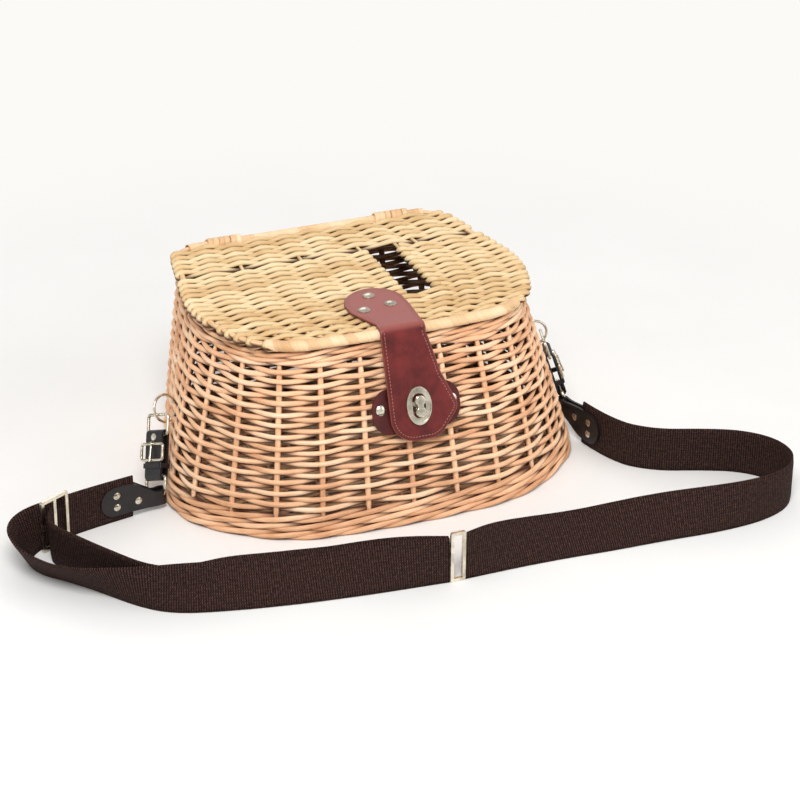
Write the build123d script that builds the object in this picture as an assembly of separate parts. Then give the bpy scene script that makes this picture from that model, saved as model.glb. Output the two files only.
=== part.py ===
from build123d import *
import math
import os

# Wicker fishing creel: a woven willow basket, flat at the back and flared at the front and sides,
# with a woven lid on two cane hinge loops, a leather closure strap with a turn lock, and a webbing
# shoulder strap that hangs from two buckled leather hangers.
#
# Millimetres. +Z is up, -Y is the front, +X is the right-hand side seen from the front. The origin
# is on the ground, under the middle of the basket.

# ---- overall form of the basket -----------------------------------------------------------------
hinge_y = 121.0            # hinge line of the lid, behind the origin
rim_top = 150.0            # top of the basket's rim
foot_height = 22.0         # height of the border round the bottom
rim_height = 11.0          # height of the border round the top
bulge = 1.29               # 1 gives straight walls; more holds the width out to a greater height

# Corners of the outer outline on the ground, each rounded by its own radius. The first is the
# middle of the front, which is bowed a little.
base_front = 129.0
base_corner_x = 106.5
base_corner_y = -121.0
base_side_x = 185.6
base_side_y = -51.0
base_back_x = 132.5
base_radii = (500.0, 120.0, 70.0, 54.0)

# The same at the top, where it is also the middle line of the lid's frame rod.
top_front = 89.6
top_corner_x = 112.0
top_corner_y = -84.5
top_side_x = 141.0
top_side_y = -1.0
top_back_x = 117.0
top_radii = (600.0, 60.0, 120.0, 22.0)

# ---- basket pieces ------------------------------------------------------------------------------
foot_thickness = 10.0
wall_thickness = 7.0
rim_thickness = 9.0
wall_setback = 1.2         # the borders stand proud of the wall by this much
wall_swing = 2.0           # depth of the wall's weave in and out of its middle
wall_stakes = 26
wall_rows = 23
row_closing = 0.07         # share by which the lowest rows are higher than the mean, the top lower
floor_height = 7.0         # underside of the woven floor
floor_thickness = 7.0
seat_gap = 0.3             # between soft pieces that lie against each other
fit_gap = 0.05             # between a rod and the bore that it lies in

# ---- lid ----------------------------------------------------------------------------------------
frame_rod_r = 4.2          # wrapped frame rod of the lid
hinge_rod_r = 4.2          # rod in the basket's back rim that the hinge loops turn on
lid_gap = 0.4              # between the lid's frame rod and the rim
panel_thickness = 7.6
panel_swing = 1.8          # height of the lid's weave over and under its middle
lid_stakes = 10            # spaces between the stakes, side rods included
lid_rows = 36
lid_row_first = -82.0
lid_row_last = 115.0
slot_left = 30.0           # opening for the catch, between the two bars
slot_right = 56.0
slot_front = -31.0
slot_back = 67.0
slot_bar_r = 3.0
loop_x = 75.0              # hinge loops, each side of the middle
loop_width = 30.0
loop_thickness = 2.2
hinge_drop = 9.6           # lid's back rod above the hinge rod
window_gap = 1.5           # room round a hinge loop in the rim
swing_gap = 0.35           # between the rim and the lid's back rod as the lid opens

# ---- closure strap ------------------------------------------------------------------------------
leather = 2.6
neck_left = -19.0          # the strap's edges where it bends over the lid's front
neck_right = 19.0
paddle_left = -29.0        # rounded upper end of the strap
paddle_right = 21.0
paddle_back = -20.0
paddle_widest = -58.0
paddle_left_r = 22.0
paddle_right_r = 27.0
closure_rivets_at = ((-5.0, -34.0), (-18.0, -57.5), (6.0, -53.4))
dome_r = 5.0
dome_height = 2.4
shank_r = 1.5
washer_r = 5.0
washer_thickness = 1.0

# ---- turn lock ----------------------------------------------------------------------------------
lock_x = 6.5               # middle of the lock
lock_z = 98.5
flap_tilt = 15.8           # lean of the flap as it lies along the wall, degrees from upright
# Lower corners of the flap, right and up from the lock's middle, each with its radius. The flap is
# fuller on the right than on the left.
flap_corners = ((-23.5, -28.0, 20.0), (16.0, -28.0, 16.0), (34.5, -6.0, 9.0), (21.5, 24.0, 45.0))
eyelet_length = 31.0
eyelet_width = 21.0
eyelet_thickness = 1.6
eyelet_lip = 1.0           # raised rim round the eyelet plate
lock_slot_length = 20.0
lock_slot_width = 11.0
back_plate_thickness = 0.5
back_plate_border = 2.5
lock_plate_length = 27.0
lock_plate_width = 17.0
lock_plate_thickness = 1.2
post_r = 2.6
stub_r = 1.8
knob_length = 17.6
knob_width = 8.6
knob_height = 4.0
knob_lift = 0.4            # knob's underside over the eyelet plate, so that it can turn across it
patch_half = 37.0
patch_height = 37.0
patch_below = 2.5          # middle of the patch below the lock's middle
patch_rivet_x = 30.0
patch_dome_r = 4.2
patch_dome_height = 1.7
backing_length = 34.0
backing_width = 20.0
backing_thickness = 1.2
tail_gap = 1.3             # the rivets' tails inside the curved wall

# ---- hangers ------------------------------------------------------------------------------------
hanger_width = 20.0
hanger_leather = 2.0
hanger_eye_r = 1.9         # inside of the leather loop where it bends round a bar
hanger_turn = 16.0         # turn of a hanger's outer face towards the front, degrees
side_ring_r = 11.0         # round ring that passes through the wicker
side_ring_wire_r = 1.1
link_wire_r = 1.3          # rectangular link between the side ring and the leather
link_width = 25.0
link_height = 16.0
strap_ring_wire_r = 1.5    # D-shaped ring under the leather
strap_ring_width = 24.0
strap_ring_height = 20.0
buckle_wire_r = 1.2
buckle_width = 27.0
buckle_height = 13.0
buckle_below_link = 14.5   # middle of the buckle below the link's lower bar
tongue_r = 1.0
keeper_height = 4.0
keeper_leather = 1.2
keeper_below_link = 25.5
hanger_rivet_below_link = 2.4
hanger_dome_r = 3.0
# Middle of the link's upper bar, and of the bar of the D-shaped ring.
hanger_top = {"left": (-169.0, 12.0, 64.0), "right": (163.5, -5.0, 83.0)}
hanger_end = {"left": (-180.0, -12.0, 22.0), "right": (180.5, -7.0, 34.0)}

# ---- shoulder strap -----------------------------------------------------------------------------
webbing_width = 38.0
webbing_thickness = 2.2
ground_gap = 0.3
end_leather = 2.0
end_length = 55.0          # from the D-shaped ring to the rounded tip
end_width = 26.0
end_neck_width = 13.0
end_eye_r = 2.5            # inside of the fold round the ring
slider_length = 28.0
slider_height = 45.0
slider_wire = 2.8
slider_thickness = 2.4
slider_share = 0.55        # place along the webbing's second run
slider_bow = 1.6           # the curved webbing stands off the flat slider by this much
buckle_ring_height = 43.0
buckle_ring_wire = 2.6

# Routes of the webbing in plan, chosen by hand. The strap stands on its edge on the ground.
left_route = [(-206, -30), (-257, -40), (-295, -60), (-313, -90), (-303, -118),
              (-281, -140), (-252, -161), (-218, -178), (-178, -189), (-134, -203), (-88, -211),
              (-44, -214), (-10, -216.5)]
return_route = [(-10, -214), (-44, -208.8), (-87, -205.8), (-132, -197.8), (-176, -183.8),
                (-215, -172.8), (-247, -156.8), (-271, -134), (-285, -106), (-288, -80),
                (-279, -58.6)]
right_route = [(183, -48), (190, -88), (216, -115), (252, -128), (280, -141), (300, -163),
               (303, -190), (287, -211), (256, -222), (216, -224), (172, -221), (128, -220),
               (86, -217), (44, -216), (3, -216.5)]


def mix(low, high, share):
    """The value that lies at this share of the way from low to high."""
    return low + (high - low) * share


def symmetric_corners(front, corner_x, corner_y, side_x, side_y, back_x, back_y):
    """Corners of an outline, counter-clockwise from the middle of the front."""
    right = [(corner_x, corner_y), (side_x, side_y), (back_x, back_y)]
    left = [(-x, y) for x, y in reversed(right)]
    return [(0.0, -front)] + right + left


def symmetric_radii(radii):
    """Radii in the order of symmetric_corners."""
    bow, corner, side, back = radii
    return [bow, corner, side, back, back, side, corner]


def inset(corners, inward):
    """Corners of the polygon whose sides are moved inwards by one distance."""
    moved = []
    for index, here in enumerate(corners):
        before = Vector(*corners[index - 1])
        after = Vector(*corners[(index + 1) % len(corners)])
        here = Vector(*here)
        first = (here - before).normalized().rotate(Axis.Z, 90)
        second = (after - here).normalized().rotate(Axis.Z, 90)
        shift = (first + second) * (inward / (1 + first.dot(second)))
        moved.append((here.X + shift.X, here.Y + shift.Y))
    return moved


back_face = hinge_y + hinge_rod_r
base_corners = symmetric_corners(base_front, base_corner_x, base_corner_y, base_side_x,
                                 base_side_y, base_back_x, back_face)
top_corners = symmetric_corners(top_front, top_corner_x, top_corner_y, top_side_x,
                                top_side_y, top_back_x, back_face)
lid_corners = symmetric_corners(top_front, top_corner_x, top_corner_y, top_side_x,
                                top_side_y, top_back_x, hinge_y)


def outline(height, inward=0.0):
    """The basket's outline at one height, moved inwards by a distance, as a level face."""
    rise = (height / rim_top) ** bulge
    corners = []
    for low, high in zip(base_corners, top_corners):
        corners.append((mix(low[0], high[0], rise), mix(low[1], high[1], rise)))
    radii = []
    for low, high in zip(symmetric_radii(base_radii), symmetric_radii(top_radii)):
        radii.append(mix(low, high, rise) - inward)
    edge = FilletPolyline(*inset(corners, inward), radius=radii, close=True)
    return Pos(0, 0, height) * make_face(edge)


def lid_outline(inward=0.0):
    """The closed middle line of the lid's frame rod, moved inwards by a distance."""
    radii = [radius - inward for radius in symmetric_radii(top_radii)]
    return FilletPolyline(*inset(lid_corners, inward), radius=radii, close=True)


def band(levels, inward, thickness):
    """A ring of wall through these heights, its outside set inwards and its thickness inside that."""
    outer = loft([outline(level, inward) for level in levels])
    inner = loft([outline(level, inward + thickness) for level in levels])
    return outer - inner


def reach(height, start, end):
    """Where a level line from start to end leaves the basket's outline at this height."""
    run = Line((*start, height), (*end, height)) & outline(height)
    return max(run.vertices(), key=lambda v: (v.center() - Vector(*start, height)).length).center()


def cylinder_between(start, end, radius):
    """A round bar with flat ends between two points."""
    start = Vector(*start)
    end = Vector(*end)
    along = end - start
    disc = Plane(origin=start, z_dir=along) * Circle(radius)
    return extrude(disc, amount=along.length, dir=along.normalized())


def in_plane(plane, shape):
    """A shape drawn at the origin, placed in a plane's own axes."""
    return plane.location * shape


def rounded_slot(length, width):
    """A slot with round ends, upright in its plane."""
    return SlotOverall(length, width, rotation=90)


def oval(length, width):
    """An upright ellipse."""
    return Ellipse(width / 2, length / 2)


def dome(radius, height):
    """A low round head standing on its plane, with a short straight edge."""
    edge = height * 0.3
    sphere_r = (radius ** 2 + (height - edge) ** 2) / (2 * (height - edge))
    cap = Pos(0, 0, height - sphere_r) * Sphere(sphere_r)
    return Pos(0, 0, height / 2) * Cylinder(radius, height) & cap


def rivet(head_r, head_height, grip):
    """A rivet with its head over the plane and its shank going down through the grip."""
    shank = Pos(0, 0, -grip / 2) * Cylinder(shank_r, grip)
    return dome(head_r, head_height) + shank


# ---- places that several pieces share -----------------------------------------------------------
hinge_z = rim_top + lid_gap + frame_rod_r - hinge_drop
lid_z = hinge_z + hinge_drop
leather_top = lid_z + frame_rod_r + seat_gap + leather
front_y = make_face(lid_outline()).bounding_box().min.Y
bend_inner = frame_rod_r + seat_gap
bend_outer = bend_inner + leather

tilt = math.radians(flap_tilt)
outward = Vector(0, -math.cos(tilt), math.sin(tilt))
up_slope = Vector(0, math.sin(tilt), math.cos(tilt))
bend_centre = Vector(0, front_y, lid_z)
flap_hinge_at = bend_centre + outward * bend_outer

flap_inner_top = bend_centre + outward * bend_inner
flap_length = (flap_inner_top.Z - lock_z) / math.cos(tilt)
lock_centre = flap_inner_top - up_slope * flap_length + Vector(lock_x, 0, 0)
flap_plane = Plane(origin=lock_centre, x_dir=(1, 0, 0), z_dir=outward)

lock_wall_y = reach(lock_z, (0, 0), (0, -300)).Y
wall_depth = (lock_wall_y - lock_centre.Y) * math.cos(tilt) + wall_setback * math.cos(tilt)
lock_plate_top = -(back_plate_thickness + seat_gap)
patch_top = lock_plate_top - lock_plate_thickness
patch_thickness = wall_depth + patch_top - seat_gap - wall_setback
eyelet_top = leather + eyelet_thickness
knob_base = eyelet_top + knob_lift
wall_in_lock = -(wall_depth + wall_thickness)


def hanger_plane(side):
    """A hanger's axes: origin in its link's upper bar, y up along the hanger, z away from the wall."""
    sign = 1 if side == "right" else -1
    top = Vector(*hanger_top[side])
    up = (top - Vector(*hanger_end[side])).normalized()
    turn = math.radians(hanger_turn)
    across = Vector(math.sin(turn), sign * math.cos(turn), 0)
    across = (across - up * across.dot(up)).normalized()
    return Plane(origin=top, x_dir=across, z_dir=across.cross(up))


def hanger_length(side):
    """From the link's lower bar to the bar of the D-shaped ring."""
    return (Vector(*hanger_top[side]) - Vector(*hanger_end[side])).length - link_height


def side_ring_plane(side):
    """The plane of the round ring: upright, square to the link's upper bar that lies in it."""
    frame = hanger_plane(side)
    sign = 1 if side == "right" else -1
    away = Vector(sign, 0, -0.5)
    away = (away - frame.x_dir * away.dot(frame.x_dir)).normalized()
    inside = side_ring_r - side_ring_wire_r - link_wire_r - fit_gap
    return Plane(origin=frame.origin - away * inside, x_dir=away, z_dir=frame.x_dir)


def strap_ring_pull(side):
    """The D-shaped ring's centre of bend, and the way from it to the strap's leather end."""
    frame = hanger_plane(side)
    drop = link_height + hanger_length(side) + strap_ring_height - strap_ring_width / 2
    centre = frame.from_local_coords(Vector(0, -drop, 0))
    pull = Vector(0, -1, -0.25)
    pull = (pull - frame.z_dir * pull.dot(frame.z_dir)).normalized()
    return centre, pull


# ---- basket -------------------------------------------------------------------------------------
def rivet_holes():
    """The holes that the lock's two rivets and its post take through the wall."""
    depth = wall_depth + wall_thickness + dome_r
    hole = Cylinder(shank_r + fit_gap, depth, align=(Align.CENTER, Align.CENTER, Align.MAX))
    holes = [in_plane(flap_plane, Pos(x, 0, 0) * hole) for x in (-patch_rivet_x, patch_rivet_x)]
    return Part() + holes


def ring_channels():
    """The ways that the two side rings take through the wicker."""
    channel = Torus(side_ring_r, side_ring_wire_r + seat_gap)
    return Part() + [in_plane(side_ring_plane(side), channel) for side in ("left", "right")]


def hinge_windows():
    """The openings in the back rim that the hinge loops turn in."""
    loop_r = frame_rod_r + fit_gap + loop_thickness
    height = 2 * loop_r + 2 * window_gap
    depth = 2 * (rim_thickness + loop_r)
    top = rim_top + window_gap
    box = Box(loop_width + 2 * window_gap, depth, height + window_gap,
              align=(Align.CENTER, Align.CENTER, Align.MAX))
    return Part() + [Pos(x, hinge_y, top) * box for x in (-loop_x, loop_x)]


def row_level(row):
    """Height of the underside of one row of the wall; the rows close up a little towards the top."""
    share = row / wall_rows
    return mix(foot_height, rim_top - rim_height, share * (1 + row_closing * (1 - share)))


def woven_section(height, row, swing):
    """The wall's outer face at one height: a half wave for each stake, the next row the other way."""
    rise = (height / rim_top) ** bulge
    inward = wall_setback + wall_swing
    edge = outline(height, inward).face().outer_wire()
    bow = mix(base_radii[0], top_radii[0], rise) - inward
    start = -bow * math.asin((edge @ 0).X / bow) / edge.length
    points = []
    for step in range(2 * wall_stakes):
        share = (start + step / (2 * wall_stakes)) % 1
        away = edge.tangent_at(share).cross(Vector(0, 0, 1))
        wave = swing * math.cos(math.pi * (step / 2 + row))
        points.append(edge.position_at(share) + away * wave)
    curve = Spline(points, periodic=True)
    lengths = wall_stakes // 2
    return make_face(Wire([curve.trim(part / lengths, (part + 1) / lengths)
                           for part in range(lengths)]))


def make_woven_wall():
    """Rows of weavers outside, each swelling towards its middle, over a plain inner face."""
    sections = [woven_section(row_level(0), 0, 0.0)]
    for row in range(wall_rows):
        middle = mix(row_level(row), row_level(row + 1), 0.5)
        sections.append(woven_section(middle, row, wall_swing))
    sections.append(woven_section(row_level(wall_rows), 0, 0.0))
    low = foot_height
    high = rim_top - rim_height
    step = (high - low) / 3
    levels = [low, low + step, high - step, high]
    inner = loft([outline(level, wall_setback + wall_thickness) for level in levels])
    outer = loft(sections, ruled=True)
    return outer - inner - rivet_holes() - ring_channels() - hinge_windows()


def make_woven_floor():
    inward = foot_thickness + seat_gap
    return loft([outline(floor_height, inward), outline(floor_height + floor_thickness, inward)])


def make_foot_border():
    levels = [0.0, floor_height, floor_height + floor_thickness, foot_height]
    return band(levels, 0.0, foot_thickness)


def hinge_rod_length():
    return 2 * (loop_x + loop_width / 2 + window_gap + rim_thickness)


def lid_rod_sweep():
    """The room above and behind the hinge that the lid's back rod needs as the lid opens."""
    room = hinge_drop - frame_rod_r - swing_gap
    corner = make_face(Polyline((0, 0), (2 * room, 0), (2 * room, 2 * room), (0, 2 * room),
                                close=True)) - Circle(room)
    return Pos(0, hinge_y, hinge_z) * extrude(Plane.YZ * corner, amount=2 * top_back_x, both=True)


def make_rim_borders():
    """The border round the top, and the short length of it between the hinge loops."""
    border = band([rim_top - rim_height, rim_top], 0.0, rim_thickness)
    bore = Cylinder(hinge_rod_r + fit_gap, hinge_rod_length() + 2 * fit_gap, rotation=(0, 90, 0))
    border = border - hinge_windows() - Pos(0, hinge_y, hinge_z) * bore - lid_rod_sweep()
    return border.solids().sort_by(SortBy.VOLUME)


def make_hinge_rod():
    rod = Cylinder(hinge_rod_r, hinge_rod_length(), rotation=(0, 90, 0))
    return Pos(0, hinge_y, hinge_z) * rod


# ---- lock on the basket -------------------------------------------------------------------------
def make_lock_patch():
    leaf = RectangleRounded(2 * patch_half, patch_height, patch_height * 0.42)
    patch = extrude(Pos(0, -patch_below, patch_top) * leaf, amount=-patch_thickness)
    shank = Cylinder(shank_r + fit_gap, 4 * patch_thickness)
    holes = [Pos(x, 0, patch_top) * shank for x in (-patch_rivet_x, patch_rivet_x)]
    return in_plane(flap_plane, patch - holes)


def make_lock_plate():
    plate = extrude(Pos(0, 0, patch_top) * oval(lock_plate_length, lock_plate_width),
                    amount=lock_plate_thickness)
    post_height = knob_base - lock_plate_top - fit_gap
    post = Pos(0, 0, lock_plate_top + post_height / 2) * Cylinder(post_r, post_height)
    stub_height = knob_height / 2
    stub = Pos(0, 0, knob_base - fit_gap + stub_height / 2) * Cylinder(stub_r, stub_height)
    return in_plane(flap_plane, plate + post + stub)


def make_lock_backing():
    plate = RectangleRounded(backing_length, backing_width, 3.0)
    low = wall_in_lock - seat_gap
    return in_plane(flap_plane, extrude(Pos(0, 0, low) * plate, amount=-backing_thickness))


def make_patch_rivets():
    grip = patch_top - wall_in_lock + tail_gap
    tail = Cylinder(patch_dome_r, washer_thickness, align=(Align.CENTER, Align.CENTER, Align.MAX))
    one = rivet(patch_dome_r, patch_dome_height, grip) + Pos(0, 0, -grip) * tail
    return [in_plane(flap_plane, Pos(x, 0, patch_top) * one)
            for x in (-patch_rivet_x, patch_rivet_x)]


def make_turn_knob():
    middle = Box(knob_width * 0.62, knob_length * 0.5, knob_height)
    lobe = Cylinder(knob_width / 2, knob_height)
    reach_y = (knob_length - knob_width) / 2
    knob = middle + Pos(0, reach_y, 0) * lobe + Pos(0, -reach_y, 0) * lobe
    upper = knob.faces().sort_by(Axis.Z)[-1]
    knob = fillet(upper.edges(), knob_height * 0.25)
    bore_depth = knob_height / 2 + fit_gap
    bore = Pos(0, 0, -knob_height / 2 + bore_depth / 2) * Cylinder(stub_r + fit_gap, bore_depth)
    return in_plane(flap_plane, Pos(0, 0, knob_base + knob_height / 2) * (knob - bore))


# ---- lid ----------------------------------------------------------------------------------------
def make_lid_frame():
    path = Wire((Pos(0, 0, lid_z) * lid_outline()).edges())
    disc = Plane(origin=path @ 0, z_dir=path % 0) * Circle(frame_rod_r)
    return sweep(disc, path=path)


def lid_rivet_hole():
    return Cylinder(shank_r + fit_gap, 3 * panel_thickness)


def make_lid_panel():
    """Rows of weavers over and under, each swelling towards its middle."""
    leaf = make_face(lid_outline(frame_rod_r + seat_gap))

    def section(y, row, swing):
        """The weave cut across at one y: half waves over and under the stakes."""
        half = (Line((-2 * top_side_x, y), (2 * top_side_x, y)) & leaf).length / 2
        edges = []
        for side in (1, -1):
            middle = lid_z + side * (panel_thickness / 2 - panel_swing)
            points = []
            for step in range(2 * lid_stakes + 1):
                wave = swing * math.cos(math.pi * (step / 2 + row))
                points.append((half * (step / lid_stakes - 1), y, middle + wave))
            edges.append(Spline(points))
        above, below = edges
        ends = [Line(above @ 0, below @ 0), Line(above @ 1, below @ 1)]
        return make_face(Wire([above, below, *ends]))

    sections = [section(leaf.bounding_box().min.Y + seat_gap / 2, 0, 0.0)]
    for row in range(lid_rows):
        y = mix(lid_row_first, lid_row_last, row / (lid_rows - 1))
        sections.append(section(y, row, panel_swing))
    sections.append(section(leaf.bounding_box().max.Y - seat_gap / 2, 0, 0.0))
    panel = loft(sections, ruled=True)
    loop_room = frame_rod_r + fit_gap + loop_thickness + seat_gap
    notch = Box(loop_width + 2 * seat_gap, 2 * loop_room, 2 * panel_thickness)
    panel -= [Pos(x, hinge_y, lid_z) * notch for x in (-loop_x, loop_x)]
    bar_room = 2 * slot_bar_r + fit_gap
    width = slot_right - slot_left + 2 * bar_room
    middle = (slot_left + slot_right) / 2
    opening = Box(width, slot_back - slot_front, 2 * panel_thickness)
    panel -= Pos(middle, (slot_front + slot_back) / 2, lid_z) * opening
    holes = [Pos(x, y, lid_z) * lid_rivet_hole() for x, y in closure_rivets_at]
    return panel - holes


def make_slot_bar(x):
    return cylinder_between((x, slot_front, lid_z), (x, slot_back, lid_z), slot_bar_r)


def make_hinge_loop(x):
    inner_r = max(frame_rod_r, hinge_rod_r) + fit_gap
    ring = SlotCenterToCenter(hinge_drop, 2 * (inner_r + loop_thickness), rotation=90)
    ring -= SlotCenterToCenter(hinge_drop, 2 * inner_r, rotation=90)
    loop = extrude(Plane.YZ * ring, amount=loop_width / 2, both=True)
    return Pos(x, hinge_y, hinge_z + hinge_drop / 2) * loop


# ---- closure strap ------------------------------------------------------------------------------
def bend_sector():
    """The strap's bend over the front rod, from the top round to where the flap begins."""
    ring = Circle(bend_outer) - Circle(bend_inner)
    sweep_angle = math.pi / 2 - tilt
    far = 3 * bend_outer
    wedge = make_face(Polyline((0, 0), (0, far), (-far, far),
                               (-far * math.sin(sweep_angle), far * math.cos(sweep_angle)),
                               close=True))
    sector = extrude(Plane.YZ * (ring & wedge), amount=neck_right - neck_left)
    return Pos(neck_left, front_y, lid_z) * sector


def make_closure_strap():
    bend_y = front_y + bend_outer
    corners = [(neck_left, front_y), (neck_left, bend_y), (paddle_left, paddle_widest),
               (paddle_left, paddle_back), (paddle_right, paddle_back),
               (paddle_right, paddle_widest), (neck_right, bend_y), (neck_right, front_y)]
    radii = [0, bend_outer, paddle_left_r, paddle_left_r, paddle_right_r, paddle_right_r,
             bend_outer, 0]
    leaf = make_face(FilletPolyline(*corners, radius=radii, close=True))
    top = extrude(Pos(0, 0, leather_top - leather) * leaf, amount=leather)
    holes = [Pos(x, y, lid_z) * lid_rivet_hole() for x, y in closure_rivets_at]
    return top + bend_sector() - holes


def make_closure_rivets():
    grip = leather_top - (lid_z - panel_thickness / 2)
    one = rivet(dome_r, dome_height, grip + seat_gap)
    return [Pos(x, y, leather_top) * one for x, y in closure_rivets_at]


def make_closure_washers():
    low = lid_z - panel_thickness / 2 - seat_gap
    ring = Circle(washer_r) - Circle(shank_r + fit_gap)
    one = extrude(ring, amount=-washer_thickness)
    return [Pos(x, y, low) * one for x, y in closure_rivets_at]


def make_closure_flap():
    top_y = flap_length - seat_gap
    corners = [(neck_left - lock_x, top_y)]
    corners += [(x, y) for x, y, _ in flap_corners]
    corners.append((neck_right - lock_x, top_y))
    radii = [0] + [radius for _, _, radius in flap_corners] + [0]
    leaf = make_face(FilletPolyline(*corners, radius=radii, close=True))
    leaf -= rounded_slot(lock_slot_length, lock_slot_width)
    return in_plane(flap_plane, extrude(leaf, amount=leather))


def make_eyelet_plate():
    hole = rounded_slot(lock_slot_length, lock_slot_width)
    outer = oval(eyelet_length, eyelet_width)
    plate = extrude(outer - hole, amount=eyelet_thickness)
    lip = outer - oval(eyelet_length - 2 * eyelet_lip, eyelet_width - 2 * eyelet_lip)
    plate += extrude(lip, amount=eyelet_thickness + eyelet_lip / 2)
    return in_plane(flap_plane, Pos(0, 0, leather) * plate)


def make_eyelet_back():
    outer = rounded_slot(lock_slot_length + 2 * back_plate_border,
                         lock_slot_width + 2 * back_plate_border)
    leaf = outer - rounded_slot(lock_slot_length, lock_slot_width)
    return in_plane(flap_plane, extrude(leaf, amount=-back_plate_thickness))


# ---- hangers ------------------------------------------------------------------------------------
hanger_outer = hanger_eye_r + hanger_leather
buckle_height_over = hanger_outer + fit_gap + buckle_wire_r
buckle_bar_y = -link_height - buckle_below_link + buckle_height / 2
tongue_eye_r = buckle_wire_r + fit_gap + tongue_r


def wire_frame(corners, radii, wire_r):
    """A closed wire through these rounded corners in the plane z=0."""
    path = Wire(FilletPolyline(*corners, radius=radii, close=True).edges())
    disc = Plane(origin=path @ 0, z_dir=path % 0) * Circle(wire_r)
    return sweep(disc, path=path)


def hanging_frame(width, height, wire_r, upper_r, lower_r):
    """A wire frame that hangs from the middle of its upper bar."""
    half = width / 2
    corners = [(-half, 0), (-half, -height), (half, -height), (half, 0)]
    return wire_frame(corners, [upper_r, lower_r, lower_r, upper_r], wire_r)


def make_side_ring(side):
    return in_plane(side_ring_plane(side), Torus(side_ring_r, side_ring_wire_r))


def make_hanger_link(side):
    corner_r = 2 * link_wire_r
    link = hanging_frame(link_width, link_height, link_wire_r, corner_r, corner_r)
    return in_plane(hanger_plane(side), link)


def make_strap_ring(side, wire_r=strap_ring_wire_r):
    bow_r = strap_ring_width / 2 * 0.99
    ring = hanging_frame(strap_ring_width, strap_ring_height, wire_r, 2 * strap_ring_wire_r,
                         bow_r)
    drop = link_height + hanger_length(side)
    return in_plane(hanger_plane(side), Pos(0, -drop, 0) * ring)


def make_hanger_strap(side):
    length = hanger_length(side)
    ring = SlotCenterToCenter(length, 2 * hanger_outer)
    ring -= SlotCenterToCenter(length, 2 * hanger_eye_r)
    loop = extrude(Plane.YZ * ring, amount=hanger_width / 2, both=True)
    hole = Cylinder(shank_r + fit_gap, 2 * hanger_leather)
    loop -= Pos(0, length / 2 - hanger_rivet_below_link, hanger_outer) * hole
    slot = Box(2 * tongue_r + 2 * seat_gap, 2 * (tongue_eye_r + seat_gap), 2 * hanger_leather)
    loop -= Pos(0, length / 2 + link_height + buckle_bar_y, hanger_outer) * slot
    return in_plane(hanger_plane(side), Pos(0, -link_height - length / 2, 0) * loop)


def make_hanger_rivet(side):
    one = rivet(hanger_dome_r, dome_height * 0.6, hanger_leather)
    place = Pos(0, -link_height - hanger_rivet_below_link, hanger_outer)
    return in_plane(hanger_plane(side), place * one)


def make_hanger_buckle(side):
    """A rectangular wire frame lying on the outer face of the leather loop."""
    corner_r = 2 * buckle_wire_r
    frame = hanging_frame(buckle_width, buckle_height, buckle_wire_r, corner_r, corner_r)
    return in_plane(hanger_plane(side), Pos(0, buckle_bar_y, buckle_height_over) * frame)


def make_buckle_tongue(side):
    """A pin with an eye round the buckle's upper bar, its tip lying on the lower bar."""
    eye_inner = buckle_wire_r + fit_gap
    eye = extrude(Plane.YZ * (Circle(tongue_eye_r) - Circle(eye_inner)), amount=tongue_r, both=True)
    start = Vector(0, -tongue_eye_r * 0.8, tongue_eye_r * 0.5)
    tip = Vector(0, -buckle_height - tongue_r, tongue_eye_r)
    pin = cylinder_between(start, tip, tongue_r) + Pos(*tip) * Sphere(tongue_r)
    bore = Cylinder(eye_inner, 4 * tongue_r, rotation=(0, 90, 0))
    tongue = eye + pin - bore
    return in_plane(hanger_plane(side), Pos(0, buckle_bar_y, buckle_height_over) * tongue)


def make_hanger_keeper(side):
    inner = RectangleRounded(hanger_width + 2 * seat_gap, 2 * (hanger_outer + seat_gap), 0.5)
    band_around = extrude(Plane.XZ * (offset(inner, keeper_leather) - inner),
                          amount=keeper_height / 2, both=True)
    place = Pos(0, -link_height - keeper_below_link, 0)
    return in_plane(hanger_plane(side), place * band_around)


# ---- shoulder strap -----------------------------------------------------------------------------
def route_radii(points):
    """For each inner corner, 0.45 of its shorter run over the tangent of half its turn."""
    radii = []
    for before, here, after in zip(points, points[1:], points[2:]):
        first = Vector(*here) - Vector(*before)
        second = Vector(*after) - Vector(*here)
        half_turn = math.radians(first.get_angle(second)) / 2
        radii.append(0.45 * min(first.length, second.length) / math.tan(half_turn))
    return radii


def make_webbing(points):
    """A flat strap standing on its edge along a route in plan."""
    radii = route_radii(points)
    print("webbing radii", [round(radius) for radius in radii])
    path = FilletPolyline(*points, radius=radii)
    strip = trace(path, line_width=webbing_thickness)
    return extrude(Pos(0, 0, ground_gap) * strip, amount=webbing_width)


def end_plane(side, route):
    """Axes of a leather end: x along the webbing's first run, y up, origin level with the ring."""
    centre, pull = strap_ring_pull(side)
    wire = centre + pull * (strap_ring_width / 2)
    first = Vector(*route[0], 0)
    along = (Vector(*route[1], 0) - first).normalized()
    eye = first + along * (wire - first).dot(along)
    return Plane(origin=Vector(eye.X, eye.Y, wire.Z), x_dir=along,
                 z_dir=along.cross(Vector(0, 0, 1)))


def end_rivet_places(rise):
    """Three rivets, from the leather end's own origin; the tip stands this much higher."""
    return ((end_length * 0.4, rise * 0.4), (end_length * 0.75, rise + end_width * 0.2),
            (end_length * 0.75, rise - end_width * 0.2))


def end_rise(plane):
    """How much higher the leather end's tip is than its fold."""
    return ground_gap + webbing_width / 2 - plane.origin.Z


def end_rivet_holes(plane):
    """The rivets' holes through both leathers and the webbing between them."""
    hole = Cylinder(shank_r + fit_gap, 4 * end_eye_r)
    return [in_plane(plane, Pos(x, y, 0) * hole) for x, y in end_rivet_places(end_rise(plane))]


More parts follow.
